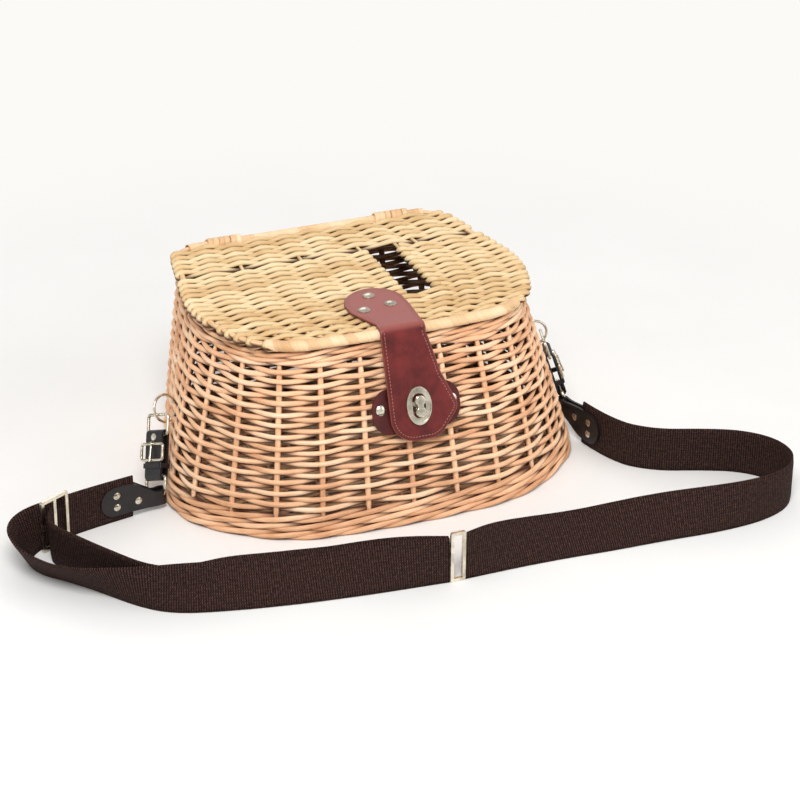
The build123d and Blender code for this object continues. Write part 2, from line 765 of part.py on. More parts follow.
def make_strap_end(side, route):
    """A leather tongue folded round the strap ring, its layers closing on the webbing."""
    plane = end_plane(side, route)
    rise = end_rise(plane)
    gap = webbing_thickness / 2 + seat_gap
    closed = 3 * (end_eye_r + end_leather)
    fold = end_eye_r + end_leather
    outer = make_face(Polyline((0, fold), (closed, gap + end_leather),
                               (end_length, gap + end_leather), (end_length, -gap - end_leather),
                               (closed, -gap - end_leather), (0, -fold), close=True))
    inner = make_face(Polyline((0, end_eye_r), (closed, gap), (2 * end_length, gap),
                               (2 * end_length, -gap), (closed, -gap), (0, -end_eye_r),
                               close=True))
    layers = Circle(fold) + outer - Circle(end_eye_r) - inner
    body = extrude(Plane.XZ * layers, amount=2 * end_width, both=True)
    neck = end_neck_width / 2
    wide = end_width / 2
    tip_x = end_length
    neck_x = closed / 2
    corners = [(-fold, -neck), (neck_x, -neck), (tip_x * 0.5, rise - wide), (tip_x, rise - wide),
               (tip_x, rise + wide), (tip_x * 0.5, rise + wide), (neck_x, neck), (-fold, neck)]
    radii = [0, neck, 2 * wide, wide * 0.98, wide * 0.98, 2 * wide, neck, 0]
    side_view = make_face(FilletPolyline(*corners, radius=radii, close=True))
    trim = extrude(side_view, amount=2 * fold, both=True)
    moulded = make_strap_ring(side, strap_ring_wire_r + seat_gap)
    return in_plane(plane, body & trim) - end_rivet_holes(plane) - moulded


def make_end_rivets(side, route):
    plane = end_plane(side, route)
    half = webbing_thickness / 2 + seat_gap + end_leather
    head = dome(dome_r * 0.6, dome_height * 0.5)
    one = Pos(0, 0, half) * head + Pos(0, 0, -half) * Rot(180, 0, 0) * head
    one += Cylinder(shank_r, 2 * half)
    return [in_plane(plane, Pos(x, y, 0) * one) for x, y in end_rivet_places(end_rise(plane))]


def upright_frame(at, along, length, height, wire, thickness, bars):
    """A flat metal frame standing on its edge, with upright bars at these shares of its length."""
    outer = RectangleRounded(length, height, wire * 0.6)
    inner = Rectangle(length - 2 * wire, height - 2 * wire)
    leaf = outer - inner
    for share in bars:
        leaf += Pos(length * (share - 0.5), 0) * Rectangle(wire, height - wire)
    plane = Plane(origin=at, x_dir=along, z_dir=along.cross(Vector(0, 0, 1)))
    return in_plane(plane, extrude(leaf, amount=thickness / 2, both=True))


def make_slider():
    first = Vector(*left_route[1], 0)
    second = Vector(*left_route[2], 0)
    along = (second - first).normalized()
    aside = along.cross(Vector(0, 0, 1))
    beside = webbing_thickness / 2 + slider_bow + slider_thickness / 2
    at = mix(first, second, slider_share) + aside * -beside + Vector(0, 0, ground_gap + slider_height / 2)
    return upright_frame(at, along, slider_length, slider_height, slider_wire, slider_thickness,
                         (0.5,))


def make_buckle_ring():
    left_end = Vector(*left_route[-1], 0)
    right_end = Vector(*right_route[-1], 0)
    at = mix(left_end, right_end, 0.5) + Vector(0, 0, ground_gap + buckle_ring_height / 2)
    between = right_end - left_end
    length = between.length - 2 * seat_gap
    return upright_frame(at, between.normalized(), length, buckle_ring_height, buckle_ring_wire,
                         slider_thickness, ())


# ---- every piece, by name -----------------------------------------------------------------------
rim_between, rim_around = make_rim_borders()
pieces = {
    "woven_wall": make_woven_wall(),
    "woven_floor": make_woven_floor(),
    "foot_border": make_foot_border(),
    "rim_border": rim_around,
    "rim_border_back": rim_between,
    "hinge_rod": make_hinge_rod(),
    "lock_patch": make_lock_patch(),
    "lock_patch_rivets": make_patch_rivets(),
    "lock_plate": make_lock_plate(),
    "lock_backing": make_lock_backing(),
    "turn_knob": make_turn_knob(),
    "lid_frame": make_lid_frame(),
    "lid_panel": make_lid_panel(),
    "slot_bar_left": make_slot_bar(slot_left - slot_bar_r),
    "slot_bar_right": make_slot_bar(slot_right + slot_bar_r),
    "hinge_loop_left": make_hinge_loop(-loop_x),
    "hinge_loop_right": make_hinge_loop(loop_x),
    "closure_strap": make_closure_strap(),
    "closure_rivets": make_closure_rivets(),
    "closure_washers": make_closure_washers(),
    "closure_flap": make_closure_flap(),
    "eyelet_plate": make_eyelet_plate(),
    "eyelet_back": make_eyelet_back(),
    "webbing_left": make_webbing(left_route) - end_rivet_holes(end_plane("left", left_route)),
    "webbing_return": make_webbing(return_route),
    "webbing_right": make_webbing(right_route) - end_rivet_holes(end_plane("right", right_route)),
    "strap_slider": make_slider(),
    "strap_buckle_ring": make_buckle_ring(),
}
for side, route in (("left", left_route), ("right", right_route)):
    pieces[f"side_ring_{side}"] = make_side_ring(side)
    pieces[f"hanger_link_{side}"] = make_hanger_link(side)
    pieces[f"hanger_strap_{side}"] = make_hanger_strap(side)
    pieces[f"hanger_buckle_{side}"] = make_hanger_buckle(side)
    pieces[f"buckle_tongue_{side}"] = make_buckle_tongue(side)
    pieces[f"hanger_keeper_{side}"] = make_hanger_keeper(side)
    pieces[f"hanger_rivet_{side}"] = make_hanger_rivet(side)
    pieces[f"strap_ring_{side}"] = make_strap_ring(side)
    pieces[f"strap_end_{side}"] = make_strap_end(side, route)
    pieces[f"strap_end_rivets_{side}"] = make_end_rivets(side, route)

os.makedirs("parts", exist_ok=True)
for name, piece in pieces.items():
    solids = piece if isinstance(piece, list) else [piece]
    shape = Compound(children=[solid for item in solids for solid in item.solids()])
    export_step(shape, f"parts/{name}.step")

print("lid hinge at", (0, hinge_y, round(hinge_z, 3)), "axis -X")
print("flap hinge at", flap_hinge_at, "axis -X")
print("turn lock at", lock_centre, "axis", outward, "tilt", math.degrees(tilt))
print("patch thickness", patch_thickness, "wall depth", wall_depth)
for side in ("left", "right"):
    frame = hanger_plane(side)
    print("tongue", side, frame.from_local_coords(Vector(0, buckle_bar_y, buckle_height_over)),
          "axis", frame.x_dir)
    print("leather end", side, end_plane(side, left_route if side == "left" else right_route))
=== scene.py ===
"""Wicker fishing creel: willow weave, cane, leather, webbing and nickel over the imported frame."""

import math

import bmesh
import bpy
import numpy as np
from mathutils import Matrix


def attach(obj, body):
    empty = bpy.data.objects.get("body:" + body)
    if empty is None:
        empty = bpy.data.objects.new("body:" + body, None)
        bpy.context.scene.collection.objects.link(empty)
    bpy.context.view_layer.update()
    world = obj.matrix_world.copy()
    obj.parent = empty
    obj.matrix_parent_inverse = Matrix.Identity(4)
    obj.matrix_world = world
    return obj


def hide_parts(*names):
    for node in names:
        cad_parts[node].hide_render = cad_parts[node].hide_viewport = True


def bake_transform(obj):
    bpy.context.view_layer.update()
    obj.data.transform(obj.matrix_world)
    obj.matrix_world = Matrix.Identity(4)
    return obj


bl_info = {
    "name": "Wicker fishing creel",
    "version": (1, 0, 0),
    "blender": (4, 5, 0),
    "location": "View3D > Sidebar > Creel",
    "description": "Builds the woven creel, its leather and its shoulder strap over the frame",
    "category": "Object",
}

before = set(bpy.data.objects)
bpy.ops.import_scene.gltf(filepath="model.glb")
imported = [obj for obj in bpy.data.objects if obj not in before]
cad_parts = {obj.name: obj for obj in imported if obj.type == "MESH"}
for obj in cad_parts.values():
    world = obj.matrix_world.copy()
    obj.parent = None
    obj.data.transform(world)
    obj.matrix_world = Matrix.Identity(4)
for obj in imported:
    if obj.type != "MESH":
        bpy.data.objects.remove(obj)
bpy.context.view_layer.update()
MM = 0.001

# ---- the basket's form, in millimetres, as in the part's own source ------------------------------
HINGE_Y = 121.0
HINGE_Z = 145.0
RIM_TOP = 150.0
FOOT_TOP = 22.0
RIM_LOW = 139.0
STAKES = 26
WALL_ROWS = 27
WEAVE_INSET = 5.2      # middle of the wall's weave behind the basket's outline
BULGE = 1.29
LID_Z = 154.6
BACK_Y = 125.2
BASE = [(0, -129), (106.5, -121), (185.6, -51), (132.5, BACK_Y)]
BASE_RADII = [500, 120, 70, 54]
TOP = [(0, -89.6), (112, -84.5), (141, -1), (117, BACK_Y)]
TOP_RADII = [600, 60, 120, 22]
FRONT_Y = -89.0
TILT = math.radians(15.8)
LID_EDGE = [(0, -89.6), (112, -84.5), (141, -1), (117, HINGE_Y)]

# ---- how finely things are drawn, and how the weave runs -----------------------------------------
ARC_POINTS = 25        # points on each rounded corner of an outline
FRONT_CORNER = 12      # of the first corner's points, the one in the middle of the front
SPLINE_STEPS = 24      # resolution of the webbing's routes
ROD_SIDES = 8
ROD_RING = 0.002       # radius of the circle that a rod's own space goes round, in metres
TONE_SHIFT = 3         # metres between the streaks of two rods whose tones differ by one
END_TAPER = ((0, 0.35), (1, 0.85), (-2, 0.85), (-1, 0.35))
FLAT = 0.9             # a rod's thickness through the wall, as a share of its height
ROW_CLOSING = 0.07
WALL_STEPS = 10        # points of a weaver for each stake
WALL_SWING = 2.5
STAKE_FOOT = 8.0
STAKE_LEVELS = 15
BORDER_STEPS = 12      # points of a border's strand for each stake
BORDER_STRANDS = 3
BORDER_SINK = 1.6      # how much further in than its place a border's strand is shaded
FLOOR_LEVEL = 10.5
FLOOR_PITCH = 5.6      # between the floor's weavers
FLOOR_SPACING = 28.0   # between the floor's stakes
FLOOR_WAVE = 1.5
LID_STEPS = 10         # points of a lid weaver for each stake
ROWS_PER_ROD = 2       # a lid weaver's tone changes after so many rows
CANE_SIDES = 16
BAND_COLUMNS = 9       # points up each face of the webbing
BAND_STEPS = 170       # points along each strand of the webbing

# Routes of the webbing in plan: the line on which each band stands.
LEFT_ROUTE = [(-206, -30), (-257, -40), (-290, -54), (-304, -71), (-299, -91), (-281, -109),
              (-262, -134), (-243, -163), (-221, -183), (-184, -194), (-134, -204), (-88, -210),
              (-44, -214), (-10, -216.5)]
RETURN_ROUTE = [(-10, -214), (-44, -208.4), (-88, -204), (-133, -198), (-180, -188),
                (-213, -178), (-234, -160), (-252, -132), (-269, -106), (-282, -87), (-286, -72),
                (-279, -58.6)]
RIGHT_ROUTE = [(183, -48), (190, -88), (216, -115), (252, -128), (280, -141), (300, -163),
               (303, -190), (287, -211), (256, -222), (216, -224), (172, -221), (128, -220),
               (86, -217), (44, -216), (3, -216.5)]
WEBBING_MIDDLE = 19.3

FINISHES = {}
EFFECTS = {}


# ---- curves --------------------------------------------------------------------------------------
def rounded(corners, radii):
    """A closed polygon with each corner rounded by its own radius, as a dense list of points.

    Each corner gives the points of its arc: the centre lies on the corner's bisector, and the
    arc meets both sides at radius times the tangent of half the turn from the corner."""
    corners = np.array(corners, float)
    radii = np.array(radii, float)
    arriving = corners - np.roll(corners, 1, 0)
    leaving = np.roll(corners, -1, 0) - corners
    arriving /= np.linalg.norm(arriving, axis=1)[:, None]
    leaving /= np.linalg.norm(leaving, axis=1)[:, None]
    cross = arriving[:, 0] * leaving[:, 1] - arriving[:, 1] * leaving[:, 0]
    turn = np.arctan2(cross, (arriving * leaving).sum(1))
    reach = radii * np.tan(turn / 2)
    start = corners - arriving * reach[:, None]
    left = np.stack([-arriving[:, 1], arriving[:, 0]], 1)
    angle = turn[:, None] * np.linspace(0, 1, ARC_POINTS)[None, :]
    along = np.sin(angle)[:, :, None] * arriving[:, None, :]
    aside = (1 - np.cos(angle))[:, :, None] * left[:, None, :]
    arcs = start[:, None, :] + radii[:, None, None] * (along + aside)
    return arcs.reshape(-1, 2)


def mirrored(right_half):
    """Corners from the middle of the front round the right-hand side, and back round the left."""
    right = right_half[1:]
    return right_half[:1] + right + [(-x, y) for x, y in reversed(right)]


def mirrored_radii(radii):
    """The corners' radii in the same order."""
    return radii + radii[:0:-1]


def resampled(points, count, closed=True):
    """The polyline as this many points, evenly spaced along it, from its first point on."""
    if closed:
        points = np.concatenate([points, points[:1]])
    step = np.linalg.norm(np.diff(points, axis=0), axis=1)
    length = np.concatenate([[0], np.cumsum(step)])
    at = np.linspace(0, length[-1], count + 1 if closed else count)
    if closed:
        at = at[:-1]
    return np.stack([np.interp(at, length, points[:, i]) for i in range(points.shape[1])], 1)


def basket_outline(height, count):
    """The basket's outer outline at one height, evenly spaced from the middle of the front."""
    share = (height / RIM_TOP) ** BULGE
    corners = (1 - share) * np.array(mirrored(BASE)) + share * np.array(mirrored(TOP))
    radii = (1 - share) * np.array(mirrored_radii(BASE_RADII))
    radii = radii + share * np.array(mirrored_radii(TOP_RADII))
    points = rounded(corners, radii)
    return resampled(np.roll(points, -FRONT_CORNER, axis=0), count)


def outward(points):
    """Outward normals of a closed counter-clockwise plan curve."""
    tangent = np.roll(points, -1, 0) - np.roll(points, 1, 0)
    tangent /= np.linalg.norm(tangent, axis=1)[:, None]
    return np.stack([tangent[:, 1], -tangent[:, 0]], 1)


def lid_edge(count):
    """The middle line of the lid's edge rod, evenly spaced from the middle of the front."""
    points = rounded(mirrored(LID_EDGE), mirrored_radii(TOP_RADII))
    return resampled(np.roll(points, -FRONT_CORNER, axis=0), count)


def spline_points(name, route, height):
    """The points, in metres, of a NURBS spline with this route of control points."""
    curve = bpy.data.curves.new(name, "CURVE")
    curve.dimensions = "3D"
    curve.resolution_u = SPLINE_STEPS
    spline = curve.splines.new("NURBS")
    spline.points.add(len(route) - 1)
    for point, (x, y) in zip(spline.points, route):
        point.co = (x * MM, y * MM, height * MM, 1.0)
    spline.order_u = 3
    spline.use_endpoint_u = True
    holder = bpy.data.objects.new(name, curve)
    mesh = bpy.data.meshes.new_from_object(holder)
    points = np.zeros(len(mesh.vertices) * 3)
    mesh.vertices.foreach_get("co", points)
    bpy.data.meshes.remove(mesh)
    bpy.data.objects.remove(holder)
    bpy.data.curves.remove(curve)
    return points.reshape(-1, 3)


# ---- meshes --------------------------------------------------------------------------------------
def new_object(name, verts, faces, uvs=None, smooth=True):
    """An object at the origin from arrays in metres; uvs is one pair for each vertex."""
    mesh = bpy.data.meshes.new(name)
    mesh.from_pydata(verts, [], faces)
    mesh.update()
    if uvs is not None:
        layer = mesh.uv_layers.new(name="UVMap")
        corner = np.zeros(len(mesh.loops), dtype=np.int32)
        mesh.loops.foreach_get("vertex_index", corner)
        layer.data.foreach_set("uv", np.asarray(uvs, dtype=np.float32)[corner].ravel())
    mesh.polygons.foreach_set("use_smooth", np.full(len(mesh.polygons), smooth))
    obj = bpy.data.objects.new(name, mesh)
    bpy.context.scene.collection.objects.link(obj)
    return obj


def grid_faces(rows, columns, wrap_rows, wrap_columns):
    """Four-sided faces of a grid of vertices, joined round on itself where asked."""
    i = np.arange(rows if wrap_rows else rows - 1)[:, None]
    j = np.arange(columns if wrap_columns else columns - 1)[None, :]
    up = (i + 1) % rows
    across = (j + 1) % columns
    quads = np.stack([i * columns + j, up * columns + j, up * columns + across,
                      i * columns + across], -1)
    return quads.reshape(-1, 4)


def rod(points, side, wide, tall, tone, closed=False, lift=None):
    """One rod along points (millimetres): an oval tube, wide along side and tall across it.

    side is a direction, or one for each point; wide and tall are half sizes, one or one for each
    point. Open ends shrink over their last two rings. lift is how far each point stands out of the
    weave along side. Returns vertices, faces, places in the rod's own space (along it, and round it
    on a small circle), tones, and how far each vertex stands out of the weave, in millimetres."""
    points = np.asarray(points, float)
    count = len(points)
    tangent = np.gradient(points, axis=0)
    if closed:
        tangent = np.roll(points, -1, 0) - np.roll(points, 1, 0)
    tangent /= np.linalg.norm(tangent, axis=1)[:, None]
    side = np.broadcast_to(np.asarray(side, float), (count, 3))
    side = side - tangent * (side * tangent).sum(1)[:, None]
    side = side / np.linalg.norm(side, axis=1)[:, None]
    other = np.cross(tangent, side)
    wide = np.broadcast_to(np.asarray(wide, float), (count,)).copy()
    tall = np.broadcast_to(np.asarray(tall, float), (count,)).copy()
    if not closed:
        for index, shrink in END_TAPER:
            wide[index] *= shrink
            tall[index] *= shrink
    angle = np.linspace(0, 2 * math.pi, ROD_SIDES, endpoint=False)
    ring = (np.cos(angle)[None, :, None] * side[:, None, :] * wide[:, None, None]
            + np.sin(angle)[None, :, None] * other[:, None, :] * tall[:, None, None])
    verts = (points[:, None, :] + ring).reshape(-1, 3) * MM
    faces = grid_faces(count, ROD_SIDES, closed, True)
    step = np.linalg.norm(np.diff(points, axis=0), axis=1)
    length = np.concatenate([[0], np.cumsum(step)]) * MM
    around = np.stack([np.cos(angle) * ROD_RING, np.sin(angle) * ROD_RING], 1)
    space = np.column_stack([np.repeat(length + tone * TONE_SHIFT, ROD_SIDES),
                             np.tile(around, (count, 1))])
    if lift is None:
        stand = points[:, None, 2] - LID_Z + ring[:, :, 2]
    else:
        stand = np.asarray(lift)[:, None] + np.cos(angle)[None, :] * wide[:, None]
    return verts, faces, space, np.full(count * ROD_SIDES, tone), stand.ravel()


def bundle(name, rods):
    """One object from many rods."""
    faces, first = [], 0
    for made in rods:
        faces.append(made[1] + first)
        first += len(made[0])
    verts, _, space, tone, stand = (np.concatenate(part) for part in zip(*rods))
    obj = new_object(name, verts, np.concatenate(faces))
    set_vectors(obj.data, "rod", space)
    for key, values in (("tone", tone), ("stand", stand)):
        shade = obj.data.attributes.new(key, "FLOAT", "POINT")
        shade.data.foreach_set("value", values.astype(np.float32))
    return obj


def slow_noise(rng, count, knots, size):
    """Smooth random values: random knots, joined by a periodic cubic blend."""
    values = rng.uniform(-size, size, knots)
    at = np.arange(count) / count * knots
    low = np.floor(at).astype(int)
    share = at - low
    share = share * share * (3 - 2 * share)
    return values[low % knots] * (1 - share) + values[(low + 1) % knots] * share


# ---- weave ---------------------------------------------------------------------------------------
def row_middle(row):
    """Height of the middle of a row of the wall; the rows close up a little towards the top."""
    share = (row + np.array([0.0, 1.0])) / WALL_ROWS
    return float((FOOT_TOP + (RIM_LOW - FOOT_TOP) * share
                  * (1 + ROW_CLOSING * (1 - share))).mean())


def wall_rods(rng, weaver):
    """The weavers of the wall, in short lengths that start and end behind a stake.

    Each row runs at its own height. A weaver swings in and out by a cosine with one half wave for
    each stake, and the next row swings the other way."""
    rods = []
    count = STAKES * WALL_STEPS
    for row in range(WALL_ROWS):
        level = row_middle(row)
        outline = basket_outline(level, count)
        normal = outward(outline)
        phase = np.arange(count) / WALL_STEPS
        swing = WALL_SWING * np.cos(math.pi * (phase + row))
        plan = outline + normal * (swing - WEAVE_INSET)[:, None]
        rise = level + slow_noise(rng, count, 17, 0.7)
        path = np.column_stack([plan, rise])
        side = np.column_stack([normal, np.zeros(count)])
        cuts = np.sort(rng.choice(np.arange(STAKES // 2), 4, replace=False)) * 2
        cuts = (cuts + (row + 1) % 2) * WALL_STEPS
        for start, stop in zip(cuts, np.roll(cuts, -1)):
            if stop <= start:
                stop += count
            index = np.arange(start - 2, stop + 3) % count
            thick = weaver * rng.uniform(0.92, 1.08)
            rods.append(rod(path[index], side[index], thick * FLAT, thick, rng.uniform(),
                            lift=swing[index]))
    return rods


def stake_rods(rng, radius):
    """The upright stakes of the wall, one for each half wave of the weavers."""
    levels = np.linspace(STAKE_FOOT, RIM_LOW + 5, STAKE_LEVELS)
    columns, sides = [], []
    for level in levels:
        outline = basket_outline(level, STAKES)
        normal = outward(outline)
        plan = outline - normal * WEAVE_INSET
        columns.append(np.column_stack([plan, np.full(STAKES, level)]))
        sides.append(np.column_stack([normal, np.zeros(STAKES)]))
    columns, sides = np.array(columns), np.array(sides)
    rods = []
    for stake in range(STAKES):
        rods.append(rod(columns[:, stake], sides[:, stake], radius, radius, rng.uniform(),
                        lift=np.full(STAKE_LEVELS, -0.5)))
    return rods


def border_rods(rng, level, inward, swing, lift, radius, shift):
    """A row of the twisted border: strands wound round each other along the outline.

    Each strand goes outwards by a cosine and up by a sine, a third of a turn behind the last, with
    one full turn for each three stakes."""
    count = STAKES * BORDER_STEPS
    outline = basket_outline(level, count)
    normal = outward(outline)
    turns = round(STAKES / BORDER_STRANDS)
    rods = []
    for strand in range(BORDER_STRANDS):
        phase = 2 * math.pi * (np.arange(count) / count * turns + strand / BORDER_STRANDS + shift)
        out = swing * np.cos(phase) - inward + slow_noise(rng, count, 31, 0.35)
        plan = outline + normal * out[:, None]
        rise = level + lift * np.sin(phase) + slow_noise(rng, count, 29, 0.35)
        path = np.column_stack([plan, rise])
        side = np.column_stack([normal, np.zeros(count)])
        thick = radius * (1 + slow_noise(rng, count, 23, 0.08))
        rods.append(rod(path, side, thick * FLAT, thick, rng.uniform(), closed=True,
                        lift=out + inward - BORDER_SINK))
    return rods


def build_wall(creel):
    """Weavers, stakes and the two borders of the basket, each over its own solid."""
    rng = np.random.default_rng(11)
    wall = bundle("wall_weavers", wall_rods(rng, creel.weaver_radius / MM))
    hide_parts("woven_wall")
    stakes = bundle("wall_stakes", stake_rods(rng, creel.stake_radius / MM))
    foot = []
    for row, level in enumerate((4.4, 10.9, 17.6)):
        foot += border_rods(rng, level, 4.9, 2.6, 2.1, 2.25, shift=row * 0.17)
    foot_border = bundle("foot_border_twist", foot)
    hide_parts("foot_border")
    rim = []
    for row, level in enumerate((140.8, 145.6)):
        rim += border_rods(rng, level, 4.4, 2.1, 1.5, 2.0, shift=0.2 + row * 0.21)
    rim_border = bundle("rim_border_twist", rim)
    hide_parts("rim_border", "rim_border_back")
    for piece in (wall, stakes, foot_border, rim_border):
        finish_piece(piece, "basket", "willow_body")


def build_floor():
    """The woven floor: weavers along X over stakes along Y, cut to the foot's outline."""
    rng = np.random.default_rng(5)
    outline = basket_outline(FLOOR_LEVEL, 720)
    outline = outline - outward(outline) * 8.0
    right = outline[:361]
    depth = right[:, 1]
    rods = []
    rows = np.arange(depth[0] + 4, 113, FLOOR_PITCH)
    for row, y in enumerate(rows):
        half = np.interp(y, depth, right[:, 0])
        if half < FLOOR_SPACING:
            continue
        x = np.linspace(-half, half, max(24, int(half / 1.6)))
        z = FLOOR_LEVEL + FLOOR_WAVE * np.cos(math.pi * (x / FLOOR_SPACING + row))
        path = np.column_stack([x, np.full_like(x, y), z])
        rods.append(rod(path, (0, 0, 1), 1.9, 2.4, rng.uniform(), lift=z - FLOOR_LEVEL))
    for x in np.arange(-140, 141, FLOOR_SPACING):
        inside = depth[np.abs(right[:, 0]) > abs(x)]
        if len(inside) < 2:
            continue
        y = np.linspace(inside.min() + 3, inside.max() - 3, 12)
        path = np.column_stack([np.full_like(y, x), y, np.full_like(y, FLOOR_LEVEL)])
        rods.append(rod(path, (0, 0, 1), 1.6, 1.6, rng.uniform(), lift=np.zeros(12)))
    floor = bundle("floor_weave", rods)
    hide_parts("woven_floor")
    finish_piece(floor, "basket", "willow_body")


# ---- lid -----------------------------------------------------------------------------------------
LID_STAKES = 10
SLOT_LEFT = 6          # the slot lies between these two stakes
SLOT_RIGHT = 7
SLOT_X = (27.0, 59.0)
SLOT_Y = (-31.0, 67.0)
LID_ROWS = 44
LID_FRONT = -82.0
LID_BACK = 115.0


def lid_half_width(y):
    """Half the lid's width between the middle lines of its side rods, at this y."""
    edge = lid_edge(800)[:401]
    return np.interp(y, edge[:, 1], edge[:, 0])


def stake_x(stake, y):
    """Where a stake of the lid, or a side rod, crosses this y. The slot's bars stand still."""
    y = np.asarray(y, float)
    half = lid_half_width(y)
    place = -half + 2 * half * stake / LID_STAKES
    for index, bar in ((SLOT_LEFT, SLOT_X[0]), (SLOT_RIGHT, SLOT_X[1])):
        if stake == index:
            away = np.maximum(SLOT_Y[0] - y, y - SLOT_Y[1])
            hold = np.clip(1 - away / 40, 0, 1)
            place = place * (1 - hold) + bar * hold
    return place


def weave_row(row, y, first, last, rng, wave):
    """One weaver from stake first to stake last, over and under.

    Between stakes the height follows a cosine drawn out towards straight runs."""
    steps = (last - first) * LID_STEPS + 1
    index = np.linspace(first, last, steps)
    knots = np.array([float(stake_x(s, y)) for s in range(first, last + 1)])
    x = np.interp(index, np.arange(first, last + 1), knots)
    curve = np.cos(math.pi * (index + row))
    straight = 1 - 2 * np.abs((index + row + 1) % 2 - 1)
    z = LID_Z + wave * (0.45 * straight + 0.55 * curve)
    z = z + np.interp(index, np.linspace(first, last, 7), rng.uniform(-0.25, 0.25, 7))
    return np.column_stack([x, np.full(steps, y), z])


def half_turn(end, start, outward_x, radius_x):
    """The path round a rod from the end of one row to the start of the next, below or above it."""
    angle = np.linspace(0, math.pi, 9)[1:-1]
    middle_x = (end[0] + start[0]) / 2
    x = middle_x + outward_x * radius_x * np.sin(angle)
    share = (1 - np.cos(angle)) / 2
    y = end[1] + (start[1] - end[1]) * share
    z = LID_Z + (end[2] - LID_Z) * np.cos(angle)
    return np.column_stack([x, y, z])


def serpentine(rng, rows, heights, first, last, wave, wraps):
    """Rows of one long weaver between two stakes, wrapped round the rod at each end.

    wraps are the radii of those turns at the left and the right. The weaver spreads where it
    lies over or under a stake, so that the rows close up.

    It comes as one rod for each pair of rows, so that the tone changes where willow was joined.
    A rod is closed on odd rows only: an even row at the end of the run makes none."""
    rods = []
    carried = None
    for row, y in zip(rows, heights):
        path = weave_row(row, y, first, last, rng, wave)
        if row % 2:
            path = path[::-1]
        if carried is None:
            carried = [path]
            continue
        end = carried[-1][-1]
        outward_x = 1.0 if end[0] > path[-1][0] else -1.0
        turn = half_turn(end, path[0], outward_x, wraps[int(outward_x > 0)])
        carried += [turn, path]
        if (row + 1) % ROWS_PER_ROD == 0:
            joined = np.concatenate(carried)
            crest = np.minimum(1, np.abs(joined[:, 2] - LID_Z) / wave)
            rods.append(rod(joined, rod_side(joined), 1.95, 2.2 + 0.85 * crest ** 2, rng.uniform()))
            carried = [path[-4:]]
    return rods


def rod_side(path):
    """A direction across a path in the XZ plane: its tangent turned by a quarter turn."""
    tangent = np.gradient(path, axis=0)
    side = np.column_stack([-tangent[:, 2], np.zeros(len(path)), tangent[:, 0]])
    return side / (np.linalg.norm(side, axis=1)[:, None] + 1e-9)


def cane_wrapped(points, radius, pitch, slant, seed):
    """A rod wound with flat cane: each turn's edge steps up a little over the one before.

    The radius grows across each turn by a saw tooth and drops at the joint, which slants round
    the rod."""
    rng = np.random.default_rng(seed)
    points = np.asarray(points, float)
    step = np.linalg.norm(np.diff(points, axis=0), axis=1)
    length = np.concatenate([[0], np.cumsum(step)])
    edges = [0.0]
    while edges[-1] < length[-1] + 2 * pitch:
        edges.append(edges[-1] + pitch * rng.uniform(0.75, 1.3))
    edges = np.array(edges) - pitch
    tangent = np.gradient(points, axis=0)
    tangent /= np.linalg.norm(tangent, axis=1)[:, None]
    side = np.broadcast_to(np.array([0.0, 0.0, 1.0]), points.shape)
    other = np.cross(tangent, side)
    other /= np.linalg.norm(other, axis=1)[:, None]
    angle = np.linspace(0, 2 * math.pi, CANE_SIDES, endpoint=False)
    along = length[:, None] + slant * np.cos(angle)[None, :]
    turn = np.searchsorted(edges, along, side="right") - 1
    share = (along - edges[turn]) / (edges[turn + 1] - edges[turn])
    groove = np.minimum(1, np.minimum(share, 1 - share) * 14)
    grown = radius - 0.42 + 0.22 * share + 0.22 * groove
    ring = (np.cos(angle)[None, :, None] * side[:, None, :]
            + np.sin(angle)[None, :, None] * other[:, None, :]) * grown[:, :, None]
    verts = (points[:, None, :] + ring).reshape(-1, 3) * MM
    faces = grid_faces(len(points), CANE_SIDES, False, True)
    tone = (np.sin(turn * 12.9898 + seed) * 43758.5453) % 1.0
    space = np.stack([angle[None, :] * radius * MM + tone, along * MM, 0 * along], 2)
    stand = 4 - 3.5 * (1 - groove)
    return verts, faces, space.reshape(-1, 3), tone.ravel(), stand.ravel()


